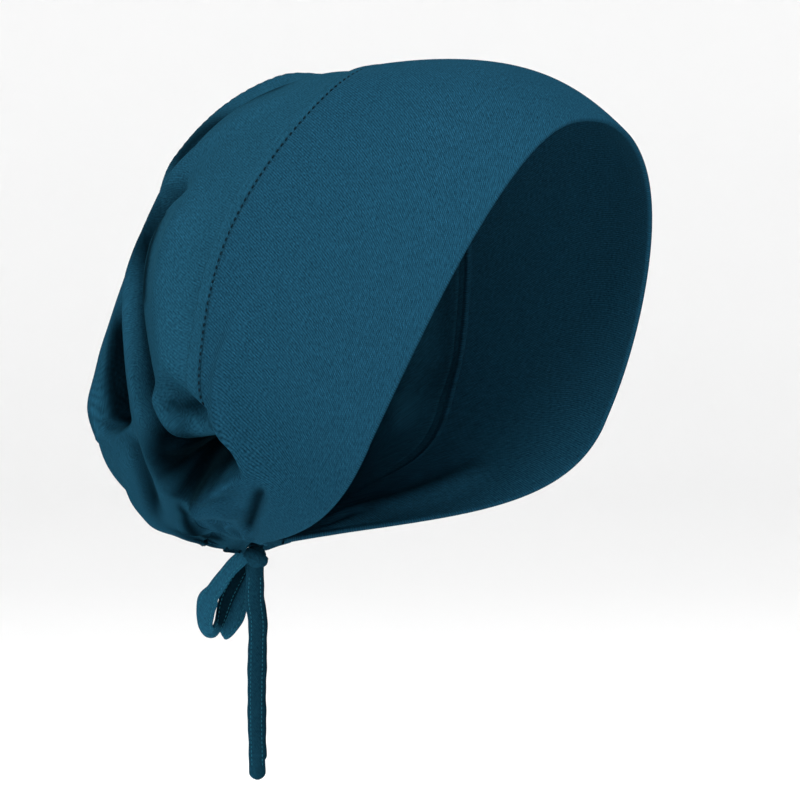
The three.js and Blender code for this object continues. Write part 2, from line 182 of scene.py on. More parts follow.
ARCHES = (
    Arch("face_edge", 0.00, 48.0, 1.004, 0.930, 0.476, 1.40, 2.30, 1.00, 0.24),
    Arch("brow", 0.12, 56.5, 0.980, 0.980, 0.470, 1.55, 2.40, 0.89, 0.17),
    Arch("vertex", 0.26, 66.5, 0.914, 1.000, 0.460, 1.70, 2.30, 0.74, 0.11),
    Arch("seam", 0.40, 78.0, 0.838, 0.987, 0.460, 1.85, 2.15, 0.52, 0.06),
    Arch("back", 0.54, 93.5, 0.737, 0.923, 0.460, 2.00, 2.10, 0.33, 0.04),
    Arch("shoulder", 0.66, 110.0, 0.553, 0.833, 0.470, 2.10, 2.10, 0.17, 0.00),
    Arch("crest", 0.78, 133.0, 0.360, 0.731, 0.480, 2.10, 2.10, 0.06, 0.00),
    Arch("belly", 0.88, 152.0, 0.175, 0.500, 0.500, 2.10, 2.10, 0.00, 0.00),
    Arch("hem", 1.00, 172.0, 0.060, 0.130, 0.500, 2.00, 2.00, 0.00, 0.00),
)


@dataclass(frozen=True)
class SeamStop:
    """Where the seam lies between face edge and hem, at one place across."""

    across: float
    near: float
    far: float


SEAM = (
    SeamStop(0.00, 0.335, 0.335),
    SeamStop(0.18, 0.350, 0.350),
    SeamStop(0.37, 0.417, 0.400),
    SeamStop(0.53, 0.437, 0.420),
    SeamStop(0.61, 0.402, 0.410),
    SeamStop(0.68, 0.325, 0.380),
    SeamStop(0.74, 0.420, 0.390),
    SeamStop(0.79, 0.570, 0.450),
    SeamStop(0.84, 0.670, 0.480),
    SeamStop(0.89, 0.580, 0.460),
    SeamStop(0.94, 0.450, 0.420),
    SeamStop(1.00, 0.400, 0.400),
)


@dataclass(frozen=True)
class Fold:
    """A fold on a smooth line through places given as (along, across); depth and width are shares.

    steep scales the width on the side that faces the hem, and fade is the share of the line over which
    each end dies away.
    """

    name: str
    depth: float
    width: float
    places: tuple[tuple[float, float], ...]
    steep: float = 1.0
    fade: float = 0.25


FOLDS = (
    Fold("pocket", -2.00, 0.74, ((0.30, -0.65), (0.38, -0.672), (0.46, -0.69), (0.53, -0.72),
         (0.60, -0.75)), fade=0.20),
    Fold("valley", -1.15, 0.46, ((0.495, -0.282), (0.535, -0.270), (0.57, -0.272), (0.592, -0.30),
         (0.602, -0.36), (0.600, -0.43), (0.592, -0.50), (0.580, -0.58), (0.535, -0.645),
         (0.45, -0.68)), steep=0.72, fade=0.12),
    Fold("puff", 0.42, 0.95, ((0.47, -0.28), (0.515, -0.40), (0.510, -0.50), (0.48, -0.60))),
    Fold("puff_lip", 0.36, 0.36, ((0.545, -0.53), (0.535, -0.59), (0.48, -0.63), (0.40, -0.622))),
    Fold("puff_dimple", -0.42, 0.34, ((0.53, -0.530), (0.49, -0.562), (0.45, -0.590), (0.40, -0.612))),
    Fold("roll", 0.22, 0.42, ((0.56, -0.20), (0.602, -0.28), (0.614, -0.40), (0.614, -0.50),
         (0.622, -0.60), (0.655, -0.70), (0.74, -0.76))),
    Fold("hollow", -1.20, 0.46, ((0.63, -0.29), (0.655, -0.37), (0.668, -0.45), (0.685, -0.53))),
    Fold("crest", 0.08, 0.46, ((0.67, -0.28), (0.715, -0.33), (0.745, -0.39), (0.75, -0.47))),
    Fold("pinch", -0.42, 0.24, ((0.735, -0.445), (0.722, -0.468), (0.69, -0.505), (0.645, -0.53))),
    Fold("flap", 0.16, 0.26, ((0.76, -0.43), (0.73, -0.485), (0.70, -0.525), (0.655, -0.555))),
    Fold("lower_valley", -0.45, 0.34, ((0.66, -0.54), (0.685, -0.62), (0.73, -0.68), (0.82, -0.71))),
    Fold("lower_tuck", -0.26, 1.80, ((0.76, -0.45), (0.80, -0.62), (0.84, -0.76), (0.86, -0.93))),
    Fold("lower_flat", -0.20, 0.70, ((0.74, -0.45), (0.78, -0.46), (0.81, -0.44), (0.84, -0.41),
         (0.88, -0.37))),
    Fold("crest_corner", 0.28, 0.50, ((0.700, -0.33), (0.718, -0.375), (0.730, -0.410), (0.738, -0.44),
         (0.742, -0.48)), fade=0.50),
    Fold("band_ridge", 0.20, 0.40, ((0.35, -0.43), (0.38, -0.51), (0.382, -0.57), (0.35, -0.63),
         (0.31, -0.69))),
    Fold("corner_crease", -0.32, 0.30, ((0.195, -0.66), (0.175, -0.72), (0.152, -0.79),
         (0.135, -0.87))),
    Fold("lobe", 0.42, 0.70, ((0.54, -0.790), (0.46, -0.782), (0.37, -0.770), (0.25, -0.745)),
         fade=0.15),
    Fold("lower_bulge", 0.14, 1.20, ((0.79, -0.36), (0.82, -0.43), (0.85, -0.50), (0.87, -0.57),
         (0.885, -0.64)), fade=0.40),
    Fold("hem_lift", -0.12, 1.00, ((0.92, -0.74), (0.92, -0.84), (0.93, -0.92), (0.93, -1.00)),
         fade=0.10),
    Fold("lobe_top", 0.62, 0.34, ((0.54, -0.770), (0.45, -0.746), (0.38, -0.731), (0.315, -0.706),
         (0.27, -0.676)), fade=0.15),
    Fold("lobe_crease", -0.20, 0.25, ((0.48, -0.86), (0.36, -0.83), (0.25, -0.83))),
    Fold("under_lobe_fold", 0.22, 0.24, ((0.80, -0.76), (0.73, -0.83), (0.62, -0.90))),
    Fold("top_dip", -0.10, 0.80, ((0.38, -0.20), (0.37, 0.00), (0.38, 0.20))),
    Fold("far_edge_valley", -0.48, 0.46, ((0.42, -0.03), (0.50, -0.09), (0.55, -0.155), (0.60, -0.22))),
    Fold("far_rim", 0.36, 0.56, ((0.42, 0.03), (0.50, -0.03), (0.56, -0.09), (0.62, -0.16))),
    Fold("far_edge_ridge", 0.20, 0.46, ((0.40, -0.13), (0.48, -0.20), (0.53, -0.225), (0.60, -0.245))),
    Fold("back_valley", -0.40, 0.70, ((0.60, 0.02), (0.72, 0.05), (0.84, 0.00))),
    Fold("back_roll", 0.30, 0.80, ((0.56, 0.16), (0.70, 0.20), (0.84, 0.16))),
    Fold("back_low_valley", -0.30, 0.50, ((0.86, -0.25), (0.83, 0.10), (0.86, 0.35))),
    Fold("far_valley", -0.70, 0.70, ((0.50, 0.27), (0.57, 0.45), (0.50, 0.68))),
    Fold("far_puff", 0.28, 1.00, ((0.44, 0.32), (0.48, 0.48), (0.45, 0.62))),
    Fold("far_roll", 0.35, 0.70, ((0.58, 0.30), (0.64, 0.47), (0.66, 0.74))),
    Fold("far_hollow", -0.50, 0.60, ((0.66, 0.34), (0.71, 0.46), (0.74, 0.60))),
    Fold("far_corner_crease", -0.25, 0.55, ((0.16, 0.66), (0.15, 0.77), (0.21, 0.90))),
)


@dataclass(frozen=True)
class Shade:
    """A line of cloth that hardly any light reaches, where shade is painted into its colour; width is in
    millimetres, dark is a share.
    """

    name: str
    dark: float
    width: float
    places: tuple[tuple[float, float], ...]


# Painted shade: each line darkens the cloth's colour near it.
SHADES = (
    Shade("valley", 0.97, 4.0, ((0.505, -0.270), (0.545, -0.256), (0.572, -0.251), (0.586, -0.262),
         (0.595, -0.280), (0.599, -0.31), (0.597, -0.35), (0.592, -0.39), (0.588, -0.42),
         (0.584, -0.46), (0.586, -0.50), (0.582, -0.54), (0.567, -0.58), (0.552, -0.61))),
    Shade("pocket_low", 0.93, 4.2, ((0.612, -0.716), (0.594, -0.735), (0.566, -0.748), (0.510, -0.750),
         (0.43, -0.728), (0.385, -0.711))),
    Shade("under_lobe", 0.88, 1.8, ((0.594, -0.752), (0.617, -0.758), (0.640, -0.767), (0.652, -0.786),
         (0.700, -0.808), (0.717, -0.823), (0.725, -0.843), (0.765, -0.876), (0.762, -0.900),
         (0.752, -0.922), (0.780, -0.945))),
    Shade("valley_rim", 0.95, 2.8, ((0.530, -0.262), (0.540, -0.282), (0.552, -0.303), (0.564, -0.328),
         (0.569, -0.350), (0.572, -0.375), (0.573, -0.400), (0.568, -0.43))),
    Shade("hollow", 0.97, 4.0, ((0.645, -0.29), (0.668, -0.345), (0.677, -0.38), (0.686, -0.42),
         (0.692, -0.455), (0.694, -0.49), (0.675, -0.52), (0.65, -0.54))),
    Shade("pocket_wall", 0.98, 9.0, ((0.41, -0.635), (0.48, -0.66), (0.54, -0.68), (0.58, -0.70))),
    Shade("pocket_back", 0.94, 6.0, ((0.55, -0.595), (0.580, -0.635), (0.592, -0.68), (0.600, -0.72))),
    Shade("pocket_floor", 0.98, 6.8, ((0.34, -0.690), (0.42, -0.704), (0.50, -0.718), (0.56, -0.722),
         (0.60, -0.71))),
    Shade("puff_dimple", 0.70, 3.4, ((0.44, -0.575), (0.475, -0.590), (0.50, -0.585), (0.515, -0.565))),
    Shade("corner", 0.75, 1.7, ((0.204, -0.68), (0.188, -0.718), (0.157, -0.79), (0.135, -0.86))),
    Shade("far_edge", 0.88, 5.2, ((0.42, -0.065), (0.46, -0.092), (0.50, -0.100), (0.53, -0.098),
         (0.55, -0.108), (0.57, -0.128), (0.59, -0.148))),
)

LINE_STEPS = 40  # points along a fold's line
ACROSS_WEIGHT = 1.6  # length of a step across against one along, on a fold's line
FOLD_REACH = 3.2  # widths from a fold's line beyond which it moves nothing
SHADE_REACH = 2.4  # widths from a shade's line beyond which it darkens nothing
SHADE_FADE = 0.2  # share of a shade's line over which each end dies away
SUNK_DARK = 0.7  # share of colour taken off as painted shade on cloth that has sunk all the way
SUNK_RANGE = (2.0, 12.0)  # millimetres of sinking where that starts and is full
PLEAT_EDGE = (0.02, 0.12)  # shares of the way from the face edge where pleats may start and are full


@dataclass
class CapSurface:
    """The cap's outer surface as a function of along (face edge 0, hem 1) and across (-1 to 1)."""

    sizes: CapSizes

    def __post_init__(self) -> None:
        """Fits the splines through the arch and seam tables."""
        columns = ("tilt", "reach", "half", "widest", "low", "top", "wrap", "bow")
        self.arch_at = NaturalSpline(
            [arch.at for arch in ARCHES], [[getattr(arch, c) for c in columns] for arch in ARCHES]
        )
        self.seam_at = NaturalSpline([stop.across for stop in SEAM], [[s.near, s.far] for s in SEAM])

    def seam(self, across: Array) -> Array:
        """How far along the seam lies at each place across."""
        both = self.seam_at(np.abs(across))
        return np.where(across < 0, both[..., 0], both[..., 1])

    def smooth(self, along: Array, across: Array) -> Array:
        """Points of the unfolded surface: a squared arch, turned about the nape by its tilt.

        Args:
            along: 0 at the face edge to 1 at the hem.
            across: -1 at the near nape, 0 on top, 1 at the far nape.

        Returns:
            Points in millimetres.
        """
        size = self.sizes
        tilt, reach, half, widest, low, top, wrap, bow = np.moveaxis(self.arch_at(along), -1, 0)
        turn = (1.0 - np.abs(across)) * np.pi
        rise = (1.0 - np.cos(turn)) / 2.0
        side = np.abs(np.sin(turn))
        square = low + (top - low) * rise
        level = np.abs(np.cos(turn)) ** (2.0 / square)
        share = np.where(turn < np.pi / 2, widest * (1 - level), widest + (1 - widest) * level)
        out = size.neck_radius + (reach * size.reach - size.neck_radius) * share
        forward = (wrap * side**2 + bow * np.sin(2 * turn) * side**2) * size.wrap
        x = half * size.half_width * side ** (2.0 / square) + size.neck_half_gap * (1 - rise)
        angle = np.radians(tilt)
        return np.stack(
            [
                np.sign(across) * x,
                size.nape_back - out * np.cos(angle) - forward * np.sin(angle),
                -size.cap_drop + out * np.sin(angle) - forward * np.cos(angle),
            ],
            axis=-1,
        )

    def slopes(self, along: Array, across: Array) -> tuple[Array, Array]:
        """Slopes of the smooth surface along and across, by differences within its edges."""
        step = 0.006
        a0, a1 = np.maximum(along - step, 0.0), np.minimum(along + step, 1.0)
        c0, c1 = np.maximum(across - step, -1.0), np.minimum(across + step, 1.0)
        along_slope = (self.smooth(a1, across) - self.smooth(a0, across)) / (a1 - a0)[..., None]
        across_slope = (self.smooth(along, c1) - self.smooth(along, c0)) / (c1 - c0)[..., None]
        return along_slope, across_slope

    def fold_line(self, fold: Fold | Shade) -> Array:
        """Points of a line on the smooth surface: a natural spline through its places."""
        places = np.array(fold.places)
        gaps = np.linalg.norm(np.diff(places, axis=0) * (1.0, ACROSS_WEIGHT), axis=1)
        at = np.concatenate([[0.0], np.cumsum(gaps)])
        line = NaturalSpline(at, places)(np.linspace(0.0, at[-1], LINE_STEPS))
        return self.smooth(line[:, 0], line[:, 1])

    def fold_shift(self, points: Array, normals: Array, hemward: Array) -> Array:
        """How far the folds move points of the smooth surface.

        Each fold lifts or sinks the cloth by its depth times exp(-(d / width)^2), where d is the
        distance from its line.
        """
        flat, outward, down = (rows.reshape(-1, 3) for rows in (points, normals, hemward))
        shift = np.zeros_like(flat)
        for fold in FOLDS:
            width = fold.width * self.sizes.fold_width
            line = self.fold_line(fold)
            close = close_to(flat, line, FOLD_REACH * width)
            distance, share, away, tangent = nearest_on_line(flat[close], line)
            sideways = unit(np.cross(outward[close], tangent))
            sideways *= np.sign(np.einsum("ij,ij->i", sideways, down[close]) + 1e-9)[:, None]
            hem_side = np.einsum("ij,ij->i", away, sideways) > 0
            ratio = distance / np.where(hem_side, width * fold.steep, width)
            height = fold.depth * self.sizes.fold_depth * end_fade(share, fold.fade) * np.exp(-(ratio**2))
            shift[close] += outward[close] * height[:, None]
        return shift.reshape(points.shape)

    def shade(self, points: Array, sunk: Array) -> Array:
        """Painted shade, the share of the cloth's colour taken away: more where it has sunk deep and near a
        shade's line.
        """
        flat = points.reshape(-1, 3)
        lit = 1.0 - SUNK_DARK * smoothstep(*SUNK_RANGE, sunk.ravel())
        for shade in SHADES:
            line = self.fold_line(shade)
            close = close_to(flat, line, SHADE_REACH * shade.width)
            distance, share = nearest_on_line(flat[close], line)[:2]
            spread = np.exp(-((distance / shade.width) ** 2))
            lit[close] *= 1.0 - shade.dark * end_fade(share, SHADE_FADE) * spread
        return (1.0 - lit).reshape(sunk.shape)

    def pleats(self, along: Array, across: Array, points: Array) -> Array:
        """Height of the pleats that run out of the gathered nape."""
        size = self.sizes
        nape = np.array([0.0, size.nape_back, -size.cap_drop])
        distance = np.linalg.norm(points - nape, axis=-1)
        phase = 2 * np.pi * size.pleats * (along + size.pleat_slant * (1 - np.abs(across)))
        rise = smoothstep(size.pleat_from, size.pleat_full, distance)
        reach = rise * (1 - smoothstep(size.pleat_wane, size.pleat_end, distance))
        return size.pleat_height * reach * np.cos(phase) * smoothstep(*PLEAT_EDGE, along)

    def folded(self, along: Array, across: Array, extra: Array) -> tuple[Array, Array]:
        """Folds the surface.

        Args:
            along: places from the face edge, 0, to the hem, 1.
            across: places from the near nape, -1, to the far nape, 1.
            extra: height to raise each place by along the smooth normal, in millimetres.

        Returns:
            Points, and the share of the cloth's colour taken away there as painted shade in the folds.
        """
        points = self.smooth(along, across)
        along_slope, across_slope = self.slopes(along, across)
        normals = unit(np.cross(across_slope, along_slope))
        lift = (extra + self.pleats(along, across, points))[..., None]
        shift = self.fold_shift(points, normals, along_slope)
        sunk = -np.sum(shift * normals, axis=-1)
        return points + shift + normals * lift, self.shade(points, sunk)


def close_to(points: Array, line: Array, reach: float) -> Array:
    """Rows of the points that lie within reach of a line's box."""
    return np.flatnonzero(np.all((points > line.min(0) - reach) & (points < line.max(0) + reach), axis=1))


def nearest_on_line(points: Array, line: Array) -> tuple[Array, Array, Array, Array]:
    """Nearest places of a polyline.

    Args:
        points: places to measure from, one a row.
        line: the polyline's points.

    Returns:
        Distance, share of the way along, vector from the line, and the line's direction there.
    """
    start, step = line[:-1], np.diff(line, axis=0)
    length2 = np.einsum("ij,ij->i", step, step)
    offset = points[:, None, :] - start[None]
    t = np.clip(np.einsum("nij,ij->ni", offset, step) / length2, 0.0, 1.0)
    away = offset - t[..., None] * step[None]
    distance = np.linalg.norm(away, axis=-1)
    best = np.argmin(distance, axis=1)
    rows = np.arange(len(points))
    share = (best + t[rows, best]) / len(step)
    slope = unit(np.gradient(line, axis=0))
    tangent = unit(slope[best] * (1 - t[rows, best])[:, None] + slope[best + 1] * t[rows, best][:, None])
    return distance[rows, best], share, away[rows, best], tangent


def net_normals(net: Array) -> Array:
    """Outward normals of a net of points, from its neighbours across (axis 0) and along (axis 1)."""
    return unit(np.cross(np.gradient(net, axis=0), np.gradient(net, axis=1)))


# Meshes

def mesh_object(
    name: str,
    points: Array,
    faces: Array,
    uv: Array | None,
    material: bpy.types.Material,
    shade: Array | None = None,
    caps: Array | None = None,
) -> bpy.types.Object:
    """A smooth-shaded mesh object at the origin.

    Args:
        name: the piece's name.
        points: vertices in millimetres.
        faces: vertex indices, four to a row.
        uv: texture places in millimetres, one a vertex, or None.
        material: the finish.
        shade: painted shade, the share of its colour taken off each vertex, or None.
        caps: more faces, three vertex indices to a row, or None.

    Returns:
        The linked object.
    """
    groups = [faces] if caps is None else [faces, caps]
    index = np.concatenate([group.ravel() for group in groups]).astype(np.int32)
    sides = np.concatenate([np.full(len(group), group.shape[1]) for group in groups])
    mesh = bpy.data.meshes.new(name)
    mesh.vertices.add(len(points))
    mesh.vertices.foreach_set("co", (points * MM).astype(np.float32).ravel())
    mesh.loops.add(len(index))
    mesh.loops.foreach_set("vertex_index", index)
    mesh.polygons.add(len(sides))
    mesh.polygons.foreach_set("loop_start", (np.cumsum(sides) - sides).astype(np.int32))
    mesh.update(calc_edges=True)
    mesh.polygons.foreach_set("use_smooth", np.ones(len(sides), bool))
    if uv is not None:
        layer = mesh.uv_layers.new(name="Cloth")
        layer.data.foreach_set("uv", uv[index].astype(np.float32).ravel())
    if shade is not None:
        layer = mesh.attributes.new("Shade", "FLOAT", "POINT")
        layer.data.foreach_set("value", shade.astype(np.float32))
    mesh.validate()
    mesh.update()
    obj = bpy.data.objects.new(name, mesh)
    bpy.context.scene.collection.objects.link(obj)
    mesh.materials.append(material)
    return obj


def ring_faces(columns: int, rings: int) -> Array:
    """Quads of a net of columns closed round its rings."""
    j, i = np.meshgrid(np.arange(columns - 1), np.arange(rings), indexing="ij")
    nxt = (i + 1) % rings
    corners = [j * rings + i, (j + 1) * rings + i, (j + 1) * rings + nxt, j * rings + nxt]
    return np.stack(corners, -1).reshape(-1, 4)


def cloth_wall(
    outer: Array, inner: Array, uv: Array, hem_rounding: tuple[int, int]
) -> tuple[Array, Array, Array]:
    """A closed cloth wall from an outer and an inner net.

    Each column becomes one ring: outer rows forward, a half-round rim, inner rows back and the other
    rim. The first and last rings are closed by strips between outer and inner rows.

    Args:
        outer: net of outer points, columns by rows.
        inner: the net below it.
        uv: texture places of the outer net.
        hem_rounding: how many rows round the first and the last edge.

    Returns:
        Points, quads and texture places.
    """
    columns, rows = outer.shape[:2]
    first = rim_rows(inner[:, 0], outer[:, 0], outer[:, 1], hem_rounding[0])
    last = rim_rows(outer[:, -1], inner[:, -1], outer[:, -2], hem_rounding[1])
    ring = np.concatenate([outer, last, inner[:, ::-1], first], axis=1)
    rim_uv_last = np.repeat(uv[:, -1:], last.shape[1], axis=1)
    rim_uv_first = np.repeat(uv[:, :1], first.shape[1], axis=1)
    ring_uv = np.concatenate([uv, rim_uv_last, uv[:, ::-1], rim_uv_first], axis=1)
    count = ring.shape[1]
    faces = [ring_faces(columns, count)]
    back = rows + last.shape[1]
    i = np.arange(rows - 1)
    inside = back + rows - 1 - i
    for base, turned in ((0, False), ((columns - 1) * count, True)):
        strip = np.stack([base + i, base + i + 1, base + inside - 1, base + inside], -1)
        faces.append(strip[:, ::-1] if turned else strip)
        rims = ((rows - 1, range(rows, back), back), (0, range(back + rows, count)[::-1], back + rows - 1))
        for start, between, end in rims:
            cap = [base + k for k in (start, *between, end)]
            fan = [[cap[0], cap[k], cap[k + 1], cap[k + 1]] for k in range(1, len(cap) - 1)]
            if turned == (start != 0):
                fan = [row[::-1] for row in fan]
            if fan:
                faces.append(np.array(fan))
    return ring.reshape(-1, 3), np.concatenate(faces), ring_uv.reshape(-1, uv.shape[-1])


def rim_rows(start: Array, end: Array, behind: Array, rows: int) -> Array:
    """Rows that swing round an edge on a half circle from start to end, away from behind."""
    if rows == 0:
        return np.zeros((len(start), 0, 3))
    middle, half = (start + end) / 2, (start - end) / 2
    outward = unit(middle - behind)
    radius = np.linalg.norm(half, axis=-1, keepdims=True)
    along_half = np.sum(outward * half, -1, keepdims=True) / np.maximum(radius**2, 1e-9)
    outward = unit(outward - half * along_half)
    angle = np.pi * np.arange(1, rows + 1) / (rows + 1)
    return (
        middle[:, None]
        + half[:, None] * np.cos(angle)[None, :, None]
        + (outward * radius)[:, None] * np.sin(angle)[None, :, None]
    )


# Finishes

class NodeSheet:
    """A short way to lay out and link shader nodes."""

    def __init__(self, tree: bpy.types.NodeTree) -> None:
        """Clears the tree and keeps it."""
        self.tree = tree
        tree.nodes.clear()

    def add(
        self, kind: str, given: dict[str | int, object] | None = None, **settings: object
    ) -> bpy.types.Node:
        """A new node.

        Args:
            kind: the node's type.
            given: a number, a colour or a socket for each input, by its name or number.
            settings: values of the node's own properties.

        Returns:
            The node.
        """
        node = self.tree.nodes.new(kind)
        for name, value in settings.items():
            setattr(node, name, value)
        for name, value in (given or {}).items():
            if isinstance(value, bpy.types.NodeSocket):
                self.tree.links.new(value, node.inputs[name])
            else:
                node.inputs[name].default_value = value
        return node

    def math(self, operation: str, *values: object) -> bpy.types.NodeSocket:
        """A math node's result; numbers and sockets are both taken."""
        return self.add("ShaderNodeMath", dict(enumerate(values)), operation=operation).outputs[0]

    def noise(
        self, place: bpy.types.NodeSocket, scale: float, detail: float, roughness: float = 0.5
    ) -> bpy.types.NodeSocket:
        """A noise from 0 to 1 over places of the cloth."""
        given = {"Vector": place, "Scale": scale, "Detail": detail, "Roughness": roughness}
        return self.add("ShaderNodeTexNoise", given).outputs["Fac"]


def new_material(name: str) -> tuple[bpy.types.Material, NodeSheet]:
    """An empty node material and its sheet."""
    material = bpy.data.materials.new(name)
    material.use_nodes = True
    return material, NodeSheet(material.node_tree)


@dataclass(frozen=True)
class KnitPattern:
    """Shape of the jersey's loops and its unevenness; scales are per millimetre of cloth.

    slant leans the wales to the side, spread widens them and wander lets them drift, in millimetres.
    dip bends each course to a V, course_relief is its share of a loop's height, and middle is the
    height of an even cloth, to which the knit fades in patches.
    """

    slant: float = -0.62
    spread: float = 0.85
    wander: float = 0.5
    wander_scale: float = 0.20
    dip: float = 0.8
    course_relief: float = 0.25
    rib_power: float = 0.7
    middle: float = 0.44
    patch_scale: float = 0.55
    patch_low: float = 0.38
    patch_high: float = 0.62
    patch_least: float = 0.25
    streak_across: float = 1.1
    streak_along: float = 0.75
    cloud_scale: float = 0.16
    cloud_roughness: float = 0.65


KNIT = KnitPattern()


def knit_group() -> bpy.types.NodeTree:
    """Group: plain jersey knit. Gives the loops' height, a mottling and streaks from cloth millimetres.

    Each wale has two legs, a raised cosine across it, crossed by courses that bend to a V.
    """
    tree = bpy.data.node_groups.new("JerseyKnit", "ShaderNodeTree")
    for name, kind in (("Cloth", "Vector"), ("Wale", "Float"), ("Course", "Float")):
        tree.interface.new_socket(name, in_out="INPUT", socket_type="NodeSocket" + kind)
    for name in ("Height", "Mottle", "Streaks"):
        tree.interface.new_socket(name, in_out="OUTPUT", socket_type="NodeSocketFloat")
    sheet = NodeSheet(tree)
    calc = sheet.math
    cloth, wale, course = sheet.add("NodeGroupInput").outputs[:3]
    across, along = sheet.add("ShaderNodeSeparateXYZ", {0: cloth}).outputs[:2]
    drift = calc("SUBTRACT", sheet.noise(cloth, KNIT.wander_scale, 2.0), 0.5)
    slanted = calc("MULTIPLY_ADD", along, KNIT.slant, across)
    level = calc("MULTIPLY", calc("ADD", slanted, calc("MULTIPLY", drift, KNIT.wander)), KNIT.spread)
    x = calc("DIVIDE", level, wale)
    y = calc("DIVIDE", along, course)
    ribs = calc("MULTIPLY_ADD", calc("COSINE", calc("MULTIPLY", x, 2 * math.pi)), 0.5, 0.5)
    leg = calc("ABSOLUTE", calc("SUBTRACT", calc("FRACT", x), 0.5))
    row = calc("SINE", calc("MULTIPLY", calc("MULTIPLY_ADD", leg, KNIT.dip, y), 2 * math.pi))
    rows = calc("MULTIPLY_ADD", row, KNIT.course_relief, 1.0 - KNIT.course_relief)
    loops = calc("SUBTRACT", calc("MULTIPLY", calc("POWER", ribs, KNIT.rib_power), rows), KNIT.middle)
    patch = {
        "Value": sheet.noise(cloth, KNIT.patch_scale, 3.0),
        "From Min": KNIT.patch_low,
        "From Max": KNIT.patch_high,
        "To Min": KNIT.patch_least,
    }
    clear = sheet.add("ShaderNodeMapRange", patch).outputs["Result"]
    lanes = {"X": calc("MULTIPLY", x, KNIT.streak_across), "Y": calc("MULTIPLY", along, KNIT.streak_along)}
    streaks = sheet.noise(sheet.add("ShaderNodeCombineXYZ", lanes).outputs[0], 1.0, 2.0)
    height = calc("MULTIPLY_ADD", loops, clear, KNIT.middle)
    mottle = sheet.noise(cloth, KNIT.cloud_scale, 4.0, KNIT.cloud_roughness)
    sheet.add("NodeGroupOutput", {"Height": height, "Mottle": mottle, "Streaks": streaks})
    return tree


@dataclass(frozen=True)
class JerseyFinish:
    """Matte cotton jersey of one colour, in linear colours, darkened by painted shade from each piece's Shade
    attribute.
    """

    name: str
    colour: tuple[float, float, float]
    wale: float = 0.80
    course: float = 0.62
    contrast: float = 1.05
    cloud: float = 0.30
    grain: float = 1.45
    # share of the colour that full painted shade takes away
    shade: float = 0.95
    relief: float = 0.10
    relief_strength: float = 0.5
    roughness: float = 0.88
    sheen: float = 0.035
    sheen_roughness: float = 0.35
    sheen_tint: tuple[float, float, float] = (0.10, 0.42, 0.58)

    def build(self, knit: bpy.types.NodeTree) -> bpy.types.Material:
        """The material, with the shared knit group at this finish's own pitch."""
        material, sheet = new_material(self.name)
        calc = sheet.math
        cloth = sheet.add("ShaderNodeUVMap", uv_map="Cloth").outputs["UV"]
        given = {"Cloth": cloth, "Wale": self.wale, "Course": self.course}
        height, mottle, streaks = sheet.add("ShaderNodeGroup", given, node_tree=knit).outputs[:3]
        loops = calc("MULTIPLY_ADD", height, self.contrast, 1.0 - KNIT.middle * self.contrast)
        cloud = calc("MULTIPLY_ADD", mottle, self.cloud, 1.0 - 0.5 * self.cloud)
        grain = calc("MULTIPLY_ADD", streaks, self.grain, 1.0 - 0.5 * self.grain)
        even = calc("MULTIPLY", calc("MULTIPLY", loops, cloud), grain)
        # Painted shade: the Shade attribute darkens the base colour.
        painted_shade = sheet.add("ShaderNodeAttribute", attribute_name="Shade").outputs["Fac"]
        lit = calc("SUBTRACT", 1.0, calc("MULTIPLY", painted_shade, self.shade))
        total = calc("MULTIPLY", even, lit)
        grey = sheet.add("ShaderNodeCombineColor", {channel: total for channel in range(3)})
        factor, first, second = 0, 6, 7
        mixed = {factor: 1.0, first: (*self.colour, 1.0), second: grey.outputs[0]}
        tint = sheet.add("ShaderNodeMix", mixed, data_type="RGBA", blend_type="MULTIPLY")
        raised = {"Strength": self.relief_strength, "Distance": self.relief * MM, "Height": height}
        surface = {
            "Base Color": tint.outputs[2],
            "Roughness": self.roughness,
            "Specular IOR Level": 0.0,
            "Sheen Weight": self.sheen,
            "Sheen Roughness": self.sheen_roughness,
            "Sheen Tint": (*self.sheen_tint, 1.0),
            "Normal": sheet.add("ShaderNodeBump", raised).outputs["Normal"],
        }
        shader = sheet.add("ShaderNodeBsdfPrincipled", surface)
        sheet.add("ShaderNodeOutputMaterial", {"Surface": shader.outputs[0]})
        return material


@dataclass(frozen=True)
class PlainFinish:
    """A plain matte finish for thread and studio paper."""

    name: str
    colour: tuple[float, float, float]
    roughness: float = 0.9
    gloss: float = 0.04

    def build(self) -> bpy.types.Material:
        """The material."""
        material, sheet = new_material(self.name)
        surface = {
            "Base Color": (*self.colour, 1.0),
            "Roughness": self.roughness,
            "Specular IOR Level": self.gloss,
        }
        shader = sheet.add("ShaderNodeBsdfPrincipled", surface)
        sheet.add("ShaderNodeOutputMaterial", {"Surface": shader.outputs[0]})
        return material


# The cap's cloth

